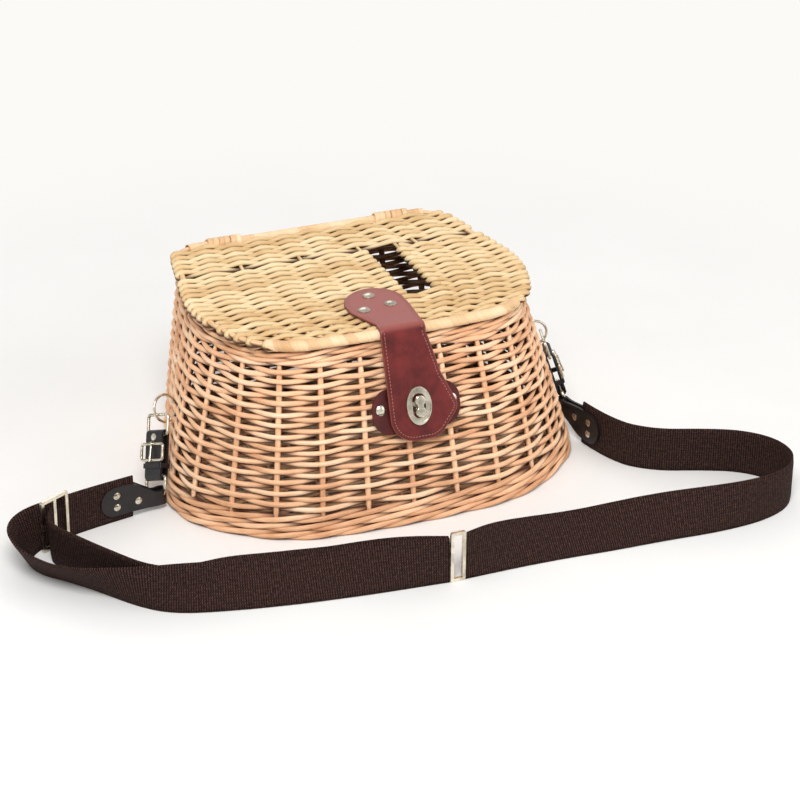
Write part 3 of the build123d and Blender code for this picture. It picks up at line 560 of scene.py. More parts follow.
def build_lid(creel):
    """The lid's weave, its stakes, its wrapped edge and the two bars of the slot."""
    rng = np.random.default_rng(23)
    heights = np.linspace(LID_FRONT, LID_BACK, LID_ROWS) + rng.uniform(-0.3, 0.3, LID_ROWS)
    rows = np.arange(LID_ROWS)
    wave = creel.lid_wave / MM
    rods = []
    before = np.flatnonzero(heights <= SLOT_Y[0])
    after = np.flatnonzero(heights >= SLOT_Y[1])
    beside = np.flatnonzero((heights > SLOT_Y[0]) & (heights < SLOT_Y[1]))
    for group, first, last, wraps in ((before, 0, LID_STAKES, (4.6, 4.6)),
                                      (beside, 0, SLOT_LEFT, (4.6, 2.8)),
                                      (beside, SLOT_RIGHT, LID_STAKES, (2.8, 4.6)),
                                      (after, 0, LID_STAKES, (4.6, 4.6))):
        rods += serpentine(rng, rows[group], heights[group], first, last, wave, wraps)
    weave = bundle("lid_weave", rods)
    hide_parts("lid_panel")
    finish_piece(weave, "lid", "willow_lid")
    stakes = []
    for stake in range(1, LID_STAKES):
        y = np.linspace(FRONT_Y + 5, HINGE_Y - 4, 40)
        path = np.column_stack([stake_x(stake, y), y, np.full(40, LID_Z)])
        stakes.append(rod(path, (0, 0, 1), 1.5, 1.6, rng.uniform()))
    stake_set = bundle("lid_stakes", stakes)
    finish_piece(stake_set, "lid", "willow_lid")

    edge = lid_edge(760)
    centre = np.column_stack([edge, np.full(760, LID_Z)])
    front = centre[(np.abs(centre[:, 0]) < 106) & (centre[:, 1] < 0)]
    front = front[np.argsort(front[:, 0])]
    back = centre[centre[:, 1] > HINGE_Y - 1.2]
    back = back[np.argsort(back[:, 0])]
    along_side = np.abs(centre[:, 1] - 18) < 104
    left = centre[(centre[:, 0] < 0) & along_side]
    right = centre[(centre[:, 0] > 0) & along_side]
    edge_rods = bundle("lid_edge_wrapped", [
        cane_wrapped(front, 4.5, 11.0, 2.2, 3), cane_wrapped(back, 4.2, 9.0, 1.4, 4),
        rod(left, (0, 0, 1), 2.4, 2.4, 0.4), rod(right, (0, 0, 1), 2.4, 2.4, 0.6)])
    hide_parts("lid_frame")
    finish_piece(edge_rods, "lid", "cane")

    bars = []
    for x in SLOT_X:
        y = np.linspace(SLOT_Y[0] - 8, SLOT_Y[1] + 8, 30)
        path = np.column_stack([np.full(30, x), y, np.full(30, LID_Z)])
        bars.append(rod(path, (0, 0, 1), 1.4, 1.4, 0.5))
    bar_set = bundle("slot_bars", bars)
    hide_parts("slot_bar_left", "slot_bar_right")
    finish_piece(bar_set, "lid", "willow_lid")


def build_hinge_loops():
    """Each hinge is six turns of flat cane round the lid's back rod and the rim's rod below it."""
    drop = LID_Z - HINGE_Z
    for side, middle in (("left", -75.0), ("right", 75.0)):
        rng = np.random.default_rng(31 if side == "left" else 37)
        rods = []
        for turn in range(6):
            x = middle - 12.5 + 5.0 * turn
            radius = 5.4
            angle = np.linspace(0, 2 * math.pi, 48, endpoint=False)
            y = HINGE_Y + radius * np.sin(angle)
            z = HINGE_Z + drop / 2 + radius * np.cos(angle) + drop / 2 * np.tanh(4 * np.cos(angle))
            lean = 1.2 * np.cos(angle) + rng.uniform(-0.3, 0.3)
            path = np.column_stack([x + lean, y, z])
            side_way = np.column_stack([np.zeros(48), np.sin(angle), np.cos(angle)])
            rods.append(rod(path, side_way, 0.95, 2.6, rng.uniform(), closed=True,
                            lift=np.full(48, 3.0)))
        loop = bundle("cane_loop_" + side, rods)
        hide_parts("hinge_loop_" + side)
        finish_piece(loop, "lid", "cane")


# ---- leather -------------------------------------------------------------------------------------
BEND_INNER = 4.5
LEATHER = 2.6
LOCK_X = 6.5
STRAP_BEND = (BEND_INNER + LEATHER) * (math.pi / 2 - TILT)
STRAP_LOCK = STRAP_BEND + 59.58
PADDLE_BACK = -69.0
PADDLE_WIDE = -31.0


def strap_point(s, x, depth):
    """The closure strap in space: s runs along its outer face, x across, depth into the leather.

    s is zero where the bend over the front rod begins; the lid lies at negative s, and past the
    bend the flap runs straight down, tilted from upright."""
    outer = BEND_INNER + LEATHER - depth
    sweep = math.pi / 2 - TILT
    bend = (BEND_INNER + LEATHER) * sweep
    angle = np.clip(s / (BEND_INNER + LEATHER), 0, sweep)
    on_lid = np.minimum(s, 0)
    down = np.maximum(s - bend, 0)
    y = FRONT_Y - on_lid - outer * np.sin(angle) - down * math.cos(sweep)
    z = LID_Z + outer * np.cos(angle) - down * math.sin(sweep)
    return np.column_stack([x, y, z])


def strap_outline():
    """The closure strap laid flat, as (x, s) points: the rounded flap below, the paddle above."""
    low = STRAP_LOCK
    corners = [(LOCK_X - 23.5, low + 28), (LOCK_X + 16, low + 28), (LOCK_X + 34.5, low + 6),
               (LOCK_X + 21.5, low - 24), (19, STRAP_BEND + 2), (19, -6), (21, PADDLE_WIDE),
               (21, PADDLE_BACK), (-29, PADDLE_BACK), (-29, PADDLE_WIDE), (-19, -6),
               (-19, STRAP_BEND + 2)]
    radii = [20, 16, 9, 45, 20, 14, 18, 22, 27, 18, 14, 20]
    return rounded(np.array(corners)[::-1], radii[::-1])


def rows_between(outline, levels):
    """The left and right x of the outline at each level of s."""
    s, x = outline[:, 1], outline[:, 0]
    low, high = int(np.argmin(s)), int(np.argmax(s))
    spin = np.roll(np.arange(len(s)), -low)
    turn = int(np.flatnonzero(spin == high)[0])
    one, two = spin[:turn + 1], np.concatenate([spin[turn:], spin[:1]])[::-1]
    first = np.interp(levels, s[one], x[one])
    second = np.interp(levels, s[two], x[two])
    return np.minimum(first, second), np.maximum(first, second)


def nearest_edge(points, outline):
    """For each flat point, its distance from the outline and how far along the nearest place is."""
    closed = np.concatenate([outline, outline[:1]])
    count, batch = 1600, 2000
    dense = resampled(closed, count, closed=False)
    distance = np.empty(len(points))
    place = np.empty(len(points), dtype=int)
    for part in np.array_split(np.arange(len(points)), max(1, len(points) // batch)):
        gap = ((points[part, None, :] - dense[None, :, :]) ** 2).sum(2)
        place[part] = gap.argmin(1)
        distance[part] = np.sqrt(gap.min(1))
    length = np.linalg.norm(np.diff(closed, axis=0), axis=1).sum()
    return distance, place / count * length


def cut_through(obj, centre, width, height, deep):
    """Cuts an oval slot right through a flat mesh, by a boolean with a rounded prism."""
    count = 48
    angle = np.linspace(0, 2 * math.pi, count, endpoint=False)
    straight = (width - height) / 2
    x = centre[0] + np.cos(angle) * height / 2 + np.sign(np.cos(angle)) * straight
    y = centre[1] + np.sin(angle) * height / 2
    verts = np.concatenate([np.column_stack([x, y, np.full(count, -deep)]),
                            np.column_stack([x, y, np.full(count, deep)])]) * MM
    faces = [[i, (i + 1) % count, (i + 1) % count + count, i + count] for i in range(count)]
    faces += [list(range(count - 1, -1, -1)), list(range(count, 2 * count))]
    cutter = new_object("slot_cutter", verts, faces)
    cut = obj.modifiers.new("slot", "BOOLEAN")
    cut.operation = "DIFFERENCE"
    cut.solver = "EXACT"
    cut.object = cutter
    bpy.context.view_layer.update()
    evaluated = obj.evaluated_get(bpy.context.evaluated_depsgraph_get())
    mesh = bpy.data.meshes.new_from_object(evaluated)
    obj.modifiers.clear()
    old = obj.data
    obj.data = mesh
    bpy.data.meshes.remove(old)
    bpy.data.objects.remove(cutter)


def build_closure():
    """The closure strap: one piece of leather over the front rod, from rivets to flap's tip.

    It is laid out flat with its slot, then each point goes to its place round the bend."""
    outline = strap_outline()
    low, high = outline[:, 1].min(), outline[:, 1].max()
    ease = 0.5 - 0.5 * np.cos(np.linspace(0, math.pi, 26))
    levels = np.concatenate([low + 14 * ease[:13], np.linspace(low + 7.6, high - 7.6, 132),
                             high - 14 * ease[:13][::-1]])
    left, right = rows_between(outline, levels)
    across = np.concatenate([[0, 0.012, 0.035, 0.07], np.linspace(0.11, 0.89, 34),
                             [0.93, 0.965, 0.988, 1]])
    sag = np.concatenate([[1.0, 0.5, 0.14, 0.0], np.zeros(34), [0.0, 0.14, 0.5, 1.0]])
    x = left[:, None] + (right - left)[:, None] * across[None, :]
    top = np.broadcast_to(0.75 * sag, x.shape)
    under = LEATHER - top
    s = np.broadcast_to(levels[:, None], x.shape)
    shell = np.concatenate([np.stack([x, s, top], 2), np.stack([x, s, under], 2)[:, ::-1]], 1)
    for end in (0, -1):
        shell[end, :, 2] = LEATHER / 2 + (shell[end, :, 2] - LEATHER / 2) * 0.45
    rows, ring = shell.shape[:2]
    faces = grid_faces(rows, ring, False, True)
    half = ring // 2
    caps = [[j, ring - 1 - j, ring - 2 - j, j + 1] for j in range(half - 1)]
    last = (rows - 1) * ring
    caps += [[last + j + 1, last + ring - 2 - j, last + ring - 1 - j, last + j]
             for j in range(half - 1)]
    strap = new_object("closure_leather", shell.reshape(-1, 3) * MM, faces.tolist() + caps)
    bm = bmesh.new()
    bm.from_mesh(strap.data)
    bmesh.ops.recalc_face_normals(bm, faces=bm.faces)
    bm.to_mesh(strap.data)
    bm.free()
    cut_through(strap, (LOCK_X, STRAP_LOCK), 20, 11, 8)
    mesh = strap.data
    flat = np.zeros(len(mesh.vertices) * 3)
    mesh.vertices.foreach_get("co", flat)
    flat = flat.reshape(-1, 3) / MM
    distance, along = nearest_edge(flat[:, :2], outline)
    bent = strap_point(flat[:, 1], flat[:, 0], flat[:, 2])
    mesh.vertices.foreach_set("co", (bent * MM).ravel())
    corner = np.zeros(len(mesh.loops), dtype=np.int32)
    mesh.loops.foreach_get("vertex_index", corner)
    layer = mesh.uv_layers.new(name="UVMap")
    layer.data.foreach_set("uv", (flat[corner, :2] * MM).astype(np.float32).ravel())
    edge = np.column_stack([along, distance, flat[:, 2]]) * MM
    set_vectors(mesh, "edge", edge)
    mesh.polygons.foreach_set("use_smooth", np.ones(len(mesh.polygons), dtype=bool))
    mesh.update()
    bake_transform(strap)
    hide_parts("closure_strap", "closure_flap")
    strap.data.materials.append(material("strap_leather"))


# ---- webbing -------------------------------------------------------------------------------------
def strip(name, middle, lean, width, thick):
    """A band of webbing on its edge along these middle points (millimetres), leaning from upright.

    lean is an angle for each point: the band turns about its lower edge, to its left seen along
    the path when it is positive. Its section is a flat oval ring of points."""
    middle = np.asarray(middle, float)
    tangent = np.gradient(middle, axis=0)
    tangent /= np.linalg.norm(tangent, axis=1)[:, None]
    left = np.column_stack([-tangent[:, 1], tangent[:, 0], np.zeros(len(middle))])
    up = np.array([0.0, 0.0, 1.0])
    rise = np.cos(lean)[:, None] * up + np.sin(lean)[:, None] * left
    face = np.cos(lean)[:, None] * left - np.sin(lean)[:, None] * up
    foot = middle - up * width / 2
    columns = BAND_COLUMNS
    across = np.linspace(0, width, columns)
    near, far = [], []
    for k in range(columns):
        pinch = thick / 2 if 0 < k < columns - 1 else thick / 2 * 0.55
        base = foot + rise * across[k]
        near.append(base + face * pinch)
        far.append(base - face * pinch)
    ring = np.stack(near + far[::-1], 1)
    count = len(middle)
    verts = ring.reshape(-1, 3) * MM
    sides = 2 * columns
    faces = grid_faces(count, sides, False, True).tolist()
    last = (count - 1) * sides
    faces += [[j, j + 1, sides - 2 - j, sides - 1 - j] for j in range(columns - 1)]
    faces += [[last + sides - 1 - j, last + sides - 2 - j, last + j + 1, last + j]
              for j in range(columns - 1)]
    length = np.concatenate([[0], np.cumsum(np.linalg.norm(np.diff(middle, axis=0), axis=1))])
    v = np.concatenate([across, across[::-1]])
    uvs = np.stack([np.repeat(length, sides), np.tile(v, count)], 1) * MM
    obj = new_object(name, verts, faces, uvs)
    centre = foot + rise * width / 2
    return obj, centre * MM


def lean_profile(count, places, degrees):
    """The lean at each of count points: straight runs through (share along, degrees) pairs,
    then averaged over a window so that the band turns without a kink."""
    share = np.linspace(-0.06, 1.06, count + 24)
    lean = np.interp(np.clip(share, 0, 1), places, degrees)
    window = np.hanning(27)[1:-1]
    return np.radians(np.convolve(lean, window / window.sum(), mode="valid"))


def build_webbing(creel):
    """The shoulder strap: the left strand, its return from the middle ring, the right strand."""
    plans = (("left", LEFT_ROUTE,
              [0, 0.17, 0.24, 0.33, 0.41, 0.49, 0.55, 0.66, 0.76, 0.88, 1],
              [4, 0, -26, -44, -34, -6, 22, 30, 44, 22, 0],
              ("strap_end_left", "strap_end_rivets_left", "strap_slider")),
             ("return", RETURN_ROUTE, [0, 0.12, 0.25, 0.36, 0.47, 0.54, 0.62, 0.8, 1],
              [0, -22, -44, -31, -24, -4, 10, 8, 0], ()),
             ("right", RIGHT_ROUTE, [0, 0.08, 0.45, 0.56, 0.66, 0.8, 0.9, 1],
              [0, 2, 0, -12, -30, -52, -40, 0],
              ("strap_end_right", "strap_end_rivets_right", "strap_buckle_ring")))
    for name, route, places, degrees, pieces in plans:
        points = spline_points("route_" + name, route, WEBBING_MIDDLE) / MM
        points = resampled(points, BAND_STEPS, closed=False)
        lean = lean_profile(BAND_STEPS, places, degrees)
        obj, centre = strip("webbing_strand_" + name, points, lean, creel.webbing_width / MM,
                            creel.webbing_thickness / MM)
        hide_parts("webbing_" + name)
        finish_piece(obj, "basket", "webbing")


# ---- metal and the leather that keeps its solid form ---------------------------------------------
def paired(*names):
    """The left and the right node of each of these names."""
    return tuple(f"{name}_{side}" for name in names for side in ("left", "right"))


METAL = ("lock_plate", "turn_knob", "eyelet_plate", "eyelet_back", "lock_backing", "strap_slider",
         "strap_buckle_ring", "closure_rivets", "closure_washers", "lock_patch_rivets") + paired(
    "side_ring", "hanger_link", "hanger_buckle", "buckle_tongue", "strap_ring", "hanger_rivet",
    "strap_end_rivets")
BLACK_LEATHER = paired("hanger_strap", "hanger_keeper", "strap_end")


def build_metal():
    """The fittings and small leathers, which keep their solids' form, get their finishes."""
    for name in METAL:
        give(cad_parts[name], "nickel")
    give(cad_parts["hinge_rod"], "willow_body")
    for name in BLACK_LEATHER:
        give(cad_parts[name], "black_leather")
    give(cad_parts["lock_patch"], "patch_leather")


def give(obj, name):
    """The object's only material becomes this one."""
    obj.data.materials.clear()
    obj.data.materials.append(material(name))


def finish_piece(obj, body, name):
    """Puts a piece on its body and its material."""
    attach(obj, body)
    give(obj, name)


def set_vectors(mesh, name, values):
    """A vector for each vertex under this name."""
    attribute = mesh.attributes.new(name, "FLOAT_VECTOR", "POINT")
    attribute.data.foreach_set("vector", np.asarray(values, dtype=np.float32).ravel())


# ---- materials -----------------------------------------------------------------------------------
SEAM_INSET = 0.0030    # of the closure strap's seam from its rim, in metres like those below
STITCH_LENGTH = 0.0028
RIB_PITCH = 0.0019     # of the webbing's ribs, along it
YARN_PITCH = 0.0022    # of the webbing's yarns, up it


def put(tree, kind, settings=None, **inputs):
    """A node with these settings; each input is a value, or a socket to link from."""
    made = tree.nodes.new(kind)
    for key, value in (settings or {}).items():
        setattr(made, key, value)
    for key, value in inputs.items():
        key = key.replace("_", " ")
        socket = made.inputs[int(key[2:])] if key.startswith("in") else made.inputs[key]
        if isinstance(value, bpy.types.NodeSocket):
            tree.links.new(value, socket)
        else:
            socket.default_value = value
    return made


def rgb(red, green, blue):
    """An sRGB colour of 0 to 255 as linear values."""
    def linear(value):
        value = value / 255
        return value / 12.92 if value <= 0.04045 else ((value + 0.055) / 1.055) ** 2.4
    return (linear(red), linear(green), linear(blue), 1.0)


def ramp(tree, factor, stops):
    """A colour ramp with these (place, colour) stops."""
    made = tree.nodes.new("ShaderNodeValToRGB")
    tree.links.new(factor, made.inputs["Fac"])
    points = made.color_ramp.elements
    while len(points) < len(stops):
        points.new(0.5)
    for point, (place, colour) in zip(points, stops):
        point.position = place
        point.color = colour
    return made.outputs["Color"]


def maths(tree, operation, first, second=0.0, third=0.0):
    """A sum on masks or values."""
    made = put(tree, "ShaderNodeMath", {"operation": operation}, in0=first, in1=second, in2=third)
    return made.outputs[0]


def blended(tree, factor, first, second):
    """Two colours mixed by a factor."""
    made = put(tree, "ShaderNodeMix", {"data_type": "RGBA"})
    for index, value in ((0, factor), (6, first), (7, second)):
        if isinstance(value, bpy.types.NodeSocket):
            tree.links.new(value, made.inputs[index])
        else:
            made.inputs[index].default_value = value
    return made.outputs[2]


def smooth_step(tree, value, low, high, to_low=0.0, to_high=1.0):
    """A value brought from low and high to 0 and 1, or to these, with soft ends."""
    return put(tree, "ShaderNodeMapRange", {"interpolation_type": "SMOOTHSTEP"}, Value=value,
               From_Min=low, From_Max=high, To_Min=to_low, To_Max=to_high).outputs["Result"]


def noise(tree, place, scale, detail, roughness=0.5):
    """Noise at these places."""
    return put(tree, "ShaderNodeTexNoise", Vector=place, Scale=scale, Detail=detail,
               Roughness=roughness).outputs["Fac"]


def attribute(tree, name, output):
    """A mesh attribute's socket."""
    return put(tree, "ShaderNodeAttribute", {"attribute_name": name}).outputs[output]


def bump(tree, shader, height, strength, distance):
    """The surface is bumped by this height."""
    made = put(tree, "ShaderNodeBump", Height=height, Strength=strength, Distance=distance)
    tree.links.new(made.outputs["Normal"], shader.inputs["Normal"])


def surface(name):
    """A new material: its tree and its surface shader."""
    made = bpy.data.materials.new(name + "_finish")
    made.use_nodes = True
    return made, made.node_tree, made.node_tree.nodes["Principled BSDF"]


def effect(name, inputs, outputs):
    """A shader node group with these named float inputs and outputs, and its two end nodes."""
    group = bpy.data.node_groups.new(name, "ShaderNodeTree")
    for label, value in inputs:
        socket = group.interface.new_socket(label, in_out="INPUT", socket_type="NodeSocketFloat")
        socket.default_value = value
    for label in outputs:
        group.interface.new_socket(label, in_out="OUTPUT", socket_type="NodeSocketFloat")
    return (group, group.nodes.new("NodeGroupInput").outputs,
            group.nodes.new("NodeGroupOutput").inputs)


def willow_effect():
    """Willow's masks: tone along a rod's streaks and blotches, painted shade by depth in the
    weave, and grain.

    The painted light is 1 on what stands out of the weave, and falls to a painted shade on its
    inner side and in its gaps."""
    group, given, out = effect("willow_masks", (("Rod Spread", 0.2), ("Blotch Size", 38.0),
                                                ("Inner", 0.2)),
                               ("Tone", "Depth", "Grain"))
    tone = attribute(group, "tone", "Fac")
    stand = attribute(group, "stand", "Fac")
    place = put(group, "ShaderNodeTexCoord").outputs["Object"]
    stretched = put(group, "ShaderNodeMapping", Vector=attribute(group, "rod", "Vector"),
                    Scale=(45.0, 1600.0, 1600.0)).outputs["Vector"]
    streak = noise(group, stretched, 1.0, 4.0, 0.65)
    blotch = noise(group, place, given["Blotch Size"], 3.0)
    spread = maths(group, "MULTIPLY", maths(group, "SUBTRACT", tone, 0.5), given["Rod Spread"])
    mix = maths(group, "MULTIPLY_ADD", streak, 0.5, spread)
    mix = maths(group, "MULTIPLY_ADD", blotch, 0.4, mix)
    group.links.new(mix, out["Tone"])
    # painted shade: darker the deeper a surface lies in the weave; its inner side gets some painted
    # light back
    deep = smooth_step(group, stand, -1.3, 1.5, 0.04)
    inside = maths(group, "MULTIPLY", smooth_step(group, stand, -1.8, -3.6), given["Inner"])
    group.links.new(maths(group, "ADD", deep, inside), out["Depth"])
    group.links.new(streak, out["Grain"])
    return group


def hide_effect():
    """Leather's masks: soft wear, and the height of its pebbled grain and creases."""
    group, given, out = effect("hide_masks", (("Pebbles", 900.0), ("Wear Size", 70.0)),
                               ("Wear", "Height"))
    place = put(group, "ShaderNodeTexCoord").outputs["Object"]
    grain = put(group, "ShaderNodeTexVoronoi", {"feature": "F1"}, Vector=place,
                Scale=given["Pebbles"]).outputs["Distance"]
    wear = noise(group, place, given["Wear Size"], 6.0, 0.6)
    group.links.new(wear, out["Wear"])
    group.links.new(maths(group, "MULTIPLY_ADD", grain, 0.5, wear), out["Height"])
    return group


def shared(tree, maker, **values):
    """The shared effect that this function makes, placed in a tree with these input values."""
    if maker not in EFFECTS:
        EFFECTS[maker] = maker()
    return put(tree, "ShaderNodeGroup", {"node_tree": EFFECTS[maker]}, **values).outputs


def willow(name, dark, middle, light, shadow, inner=0.2):
    """Peeled willow or split cane: streaked tones, and painted shade deep in the weave.

    inner is how much painted light the weave's inner side keeps under that painted shade."""
    made, tree, shader = surface(name)
    shader.inputs["Specular IOR Level"].default_value = 0.25
    masks = shared(tree, willow_effect, Inner=inner)
    colour = ramp(tree, masks["Tone"], [(0.25, dark), (0.46, middle), (0.66, light)])
    # painted shade: the fourth colour is laid over what lies deep in the weave
    colour = blended(tree, masks["Depth"], shadow, colour)
    tree.links.new(colour, shader.inputs["Base Color"])
    rough = maths(tree, "MULTIPLY_ADD", masks["Grain"], 0.3, 0.36)
    tree.links.new(rough, shader.inputs["Roughness"])
    bump(tree, shader, masks["Grain"], 0.35, 0.0006)
    return made


def leather(name, dark, light, rough, top_highlight=None):
    """Leather: pebbled grain, creases and wear.

    The closure strap's also has a painted highlight on its upward faces, a pale cut rim and a
    seam beside it: the last colour is that painted highlight's."""
    made, tree, shader = surface(name)
    shader.inputs["Specular IOR Level"].default_value = 0.4
    masks = shared(tree, hide_effect)
    colour = ramp(tree, masks["Wear"], [(0.3, dark), (0.72, light)])
    height = masks["Height"]
    if top_highlight is not None:
        # painted highlight: faces that point upwards are lightened towards the last colour
        normal = put(tree, "ShaderNodeNewGeometry").outputs["Normal"]
        upward = put(tree, "ShaderNodeSeparateXYZ", Vector=normal).outputs["Z"]
        top_highlight_mask = smooth_step(tree, upward, 0.45, 0.98, 0.0, 0.72)
        colour = blended(tree, top_highlight_mask, colour, top_highlight)
        split = put(tree, "ShaderNodeSeparateXYZ", Vector=attribute(tree, "edge", "Vector")).outputs
        near = maths(tree, "LESS_THAN", split["Y"], 0.0007)
        colour = blended(tree, maths(tree, "MULTIPLY", near, 0.5), colour, rgb(150, 84, 70))
        line = maths(tree, "COMPARE", split["Y"], SEAM_INSET, 0.00032)
        groove = maths(tree, "COMPARE", split["Y"], SEAM_INSET, 0.0007)
        wave = maths(tree, "SINE", maths(tree, "MULTIPLY", split["X"], 2 * math.pi / STITCH_LENGTH))
        dash = maths(tree, "GREATER_THAN", wave, -0.35)
        stitch = maths(tree, "MULTIPLY", line, dash)
        colour = blended(tree, maths(tree, "MULTIPLY", groove, 0.35), colour, dark)
        colour = blended(tree, maths(tree, "MULTIPLY", stitch, 0.7), colour, rgb(178, 118, 100))
        height = maths(tree, "MULTIPLY_ADD", stitch, 1.2, height)
        height = maths(tree, "MULTIPLY_ADD", groove, -0.9, height)
    tree.links.new(colour, shader.inputs["Base Color"])
    tree.links.new(maths(tree, "MULTIPLY_ADD", masks["Wear"], 0.25, rough),
                   shader.inputs["Roughness"])
    bump(tree, shader, height, 0.4, 0.0004)
    return made


def webbing_cloth(name, yarn_colour):
    """Woven webbing: ribs across, yarns along, both broken up a little."""
    made, tree, shader = surface(name)
    uv = put(tree, "ShaderNodeUVMap", {"uv_map": "UVMap"}).outputs["UV"]
    split = put(tree, "ShaderNodeSeparateXYZ", Vector=uv).outputs
    uneven = noise(tree, uv, 420.0, 3.0)
    jitter = maths(tree, "MULTIPLY", uneven, 1.6)
    rib, yarn = (maths(tree, "SINE", maths(tree, "MULTIPLY_ADD", split[way], 2 * math.pi / pitch,
                                           jitter))
                 for way, pitch in (("X", RIB_PITCH), ("Y", YARN_PITCH)))
    weave = maths(tree, "MULTIPLY", rib, yarn)
    height = maths(tree, "MULTIPLY_ADD", weave, 0.5, maths(tree, "MULTIPLY", rib, 0.5))
    # painted shade and painted highlight: the weave's valleys are darkened and its crests
    # lightened, over the yarns' own uneven tone
    colour = ramp(tree, maths(tree, "MULTIPLY_ADD", height, 0.5, uneven),
                  [(0.1, rgb(16, 9, 9)), (0.55, yarn_colour), (1.0, rgb(96, 68, 58))])
    tree.links.new(colour, shader.inputs["Base Color"])
    shader.inputs["Roughness"].default_value = 0.86
    shader.inputs["Specular IOR Level"].default_value = 0.12
    bump(tree, shader, height, 0.8, 0.0006)
    return made


def nickel(name):
    """Worn nickel plate: fine scratches, dull patches and a little tarnish."""
    made, tree, shader = surface(name)
    place = put(tree, "ShaderNodeTexCoord").outputs["Object"]
    scratch = put(tree, "ShaderNodeMapping", Vector=place, Scale=(300.0, 300.0, 2600.0))
    fine = noise(tree, scratch.outputs["Vector"], 1.0, 3.0)
    patch = noise(tree, place, 130.0, 4.0)
    colour = ramp(tree, patch, [(0.25, rgb(176, 166, 148)), (0.6, rgb(238, 230, 212))])
    tree.links.new(colour, shader.inputs["Base Color"])
    shader.inputs["Metallic"].default_value = 1.0
    tree.links.new(maths(tree, "MULTIPLY_ADD", patch, 0.25, 0.14), shader.inputs["Roughness"])
    bump(tree, shader, fine, 0.12, 0.0002)
    return made


def material(name):
    """The finish of this name, made the first time that it is asked for."""
    if name not in FINISHES:
        creel = bpy.context.scene.creel
        maker, *tones = {
            # for willow and cane the fourth colour is the painted shade deep in the weave
            "willow_body": (willow, rgb(206, 146, 104), creel.willow_colour, rgb(255, 228, 196),
                            rgb(62, 22, 14)),
            "willow_lid": (willow, rgb(204, 162, 108), creel.lid_colour, rgb(250, 228, 188),
                           rgb(70, 30, 18), 0.8),
            "cane": (willow, rgb(212, 164, 116), creel.cane_colour, rgb(252, 228, 192),
                     rgb(96, 52, 32)),
            # the strap's last colour is a painted highlight on its upward faces
            "strap_leather": (leather, rgb(76, 16, 18), creel.leather_colour, 0.26,
                              rgb(170, 96, 88)),
            "patch_leather": (leather, rgb(58, 14, 14), rgb(96, 28, 24), 0.34),
            "black_leather": (leather, rgb(16, 14, 15), rgb(38, 32, 34), 0.2),
            "webbing": (webbing_cloth, creel.webbing_colour),
            "nickel": (nickel,),
        }[name]
        FINISHES[name] = maker(name, *tones)
    return FINISHES[name]


# ---- stage ---------------------------------------------------------------------------------------
def build_stage():
    """Camera, pale floor and soft light."""
    azimuth, elevation, distance = math.radians(-21.433), math.radians(26.475), 2.2
    target = np.array([0.0, -0.0053, 0.09])
    back = np.array([math.sin(azimuth) * math.cos(elevation), -math.cos(azimuth)
                     * math.cos(elevation), math.sin(elevation)])
    camera = bpy.data.cameras.new("camera")
    camera.lens = 120.97
    camera.sensor_width = 36.0
    camera.shift_x = 0.0486
    camera.shift_y = -0.0491
    camera.clip_end = 20.0
    holder = bpy.data.objects.new("camera", camera)
    bpy.context.scene.collection.objects.link(holder)
    holder.location = target + back * distance
    holder.rotation_euler = (math.pi / 2 - elevation, 0.0, azimuth)
    bpy.context.scene.camera = holder

    floor = new_object("floor", np.array([(-6, -6, 0), (6, -6, 0), (6, 6, 0), (-6, 6, 0)], float),
                       [[0, 1, 2, 3]], smooth=False)
    made, tree, shader = surface("paper")
    place = put(tree, "ShaderNodeTexCoord").outputs["Object"]
    mottle = noise(tree, place, 6.0, 5.0)
    tree.links.new(ramp(tree, mottle, [(0.3, (0.88, 0.87, 0.85, 1)), (0.7, (0.92, 0.91, 0.89, 1))]),
                   shader.inputs["Base Color"])
    shader.inputs["Roughness"].default_value = 0.9
    away = put(tree, "ShaderNodeVectorMath", {"operation": "LENGTH"}, in0=place).outputs["Value"]
    far = smooth_step(tree, away, 0.32, 0.75)
    path = put(tree, "ShaderNodeLightPath").outputs
    seen = maths(tree, "MAXIMUM", path["Is Camera Ray"], maths(tree, "MAXIMUM",
                 path["Is Glossy Ray"], path["Is Transmission Ray"]))
    glow = put(tree, "ShaderNodeEmission", Color=(0.97, 0.955, 0.93, 1.0), Strength=1.0)
    both = tree.nodes.new("ShaderNodeMixShader")
    tree.links.new(maths(tree, "MULTIPLY", far, seen), both.inputs[0])
    tree.links.new(shader.outputs[0], both.inputs[1])
    tree.links.new(glow.outputs[0], both.inputs[2])
    tree.links.new(both.outputs[0], tree.nodes["Material Output"].inputs["Surface"])
    floor.data.materials.append(made)

    world = bpy.data.worlds.new("world")
    world.use_nodes = True
    world.node_tree.nodes["Background"].inputs["Color"].default_value = (1.0, 1.0, 1.0, 1.0)
    world.node_tree.nodes["Background"].inputs["Strength"].default_value = 0.52
    bpy.context.scene.world = world
    for name, place, size, power in (("key", (-0.7, -1.6, 2.2), 1.0, 50.0),
                                     ("fill", (1.8, -1.4, 1.1), 1.6, 12.0),
                                     ("rim", (0.4, 1.9, 1.8), 1.4, 8.0)):
        light = bpy.data.lights.new(name, "AREA")
        light.size = size
        light.energy = power
        lamp = bpy.data.objects.new(name, light)
        bpy.context.scene.collection.objects.link(lamp)
        lamp.location = place
        aim = np.array([0, 0, 0.05]) - np.array(place)
        yaw = math.atan2(aim[0], -aim[1])
        pitch = math.atan2(math.hypot(aim[0], aim[1]), -aim[2])
        lamp.rotation_euler = (pitch, 0.0, yaw + math.pi)
    bpy.context.scene.view_settings.view_transform = "Standard"


# ---- add-on --------------------------------------------------------------------------------------
def size_setting(name, description, default, low=0.001, high=0.004):
    """A size in metres that the panel shows in the scene's units."""
    return bpy.props.FloatProperty(name=name, description=description, default=default, min=low,
                                   max=high, subtype="DISTANCE", unit="LENGTH")


def colour_setting(name, description, default):
    """A colour that the panel shows as a swatch."""
    return bpy.props.FloatVectorProperty(name=name, description=description, default=default,
                                         size=4, min=0, max=1, subtype="COLOR")


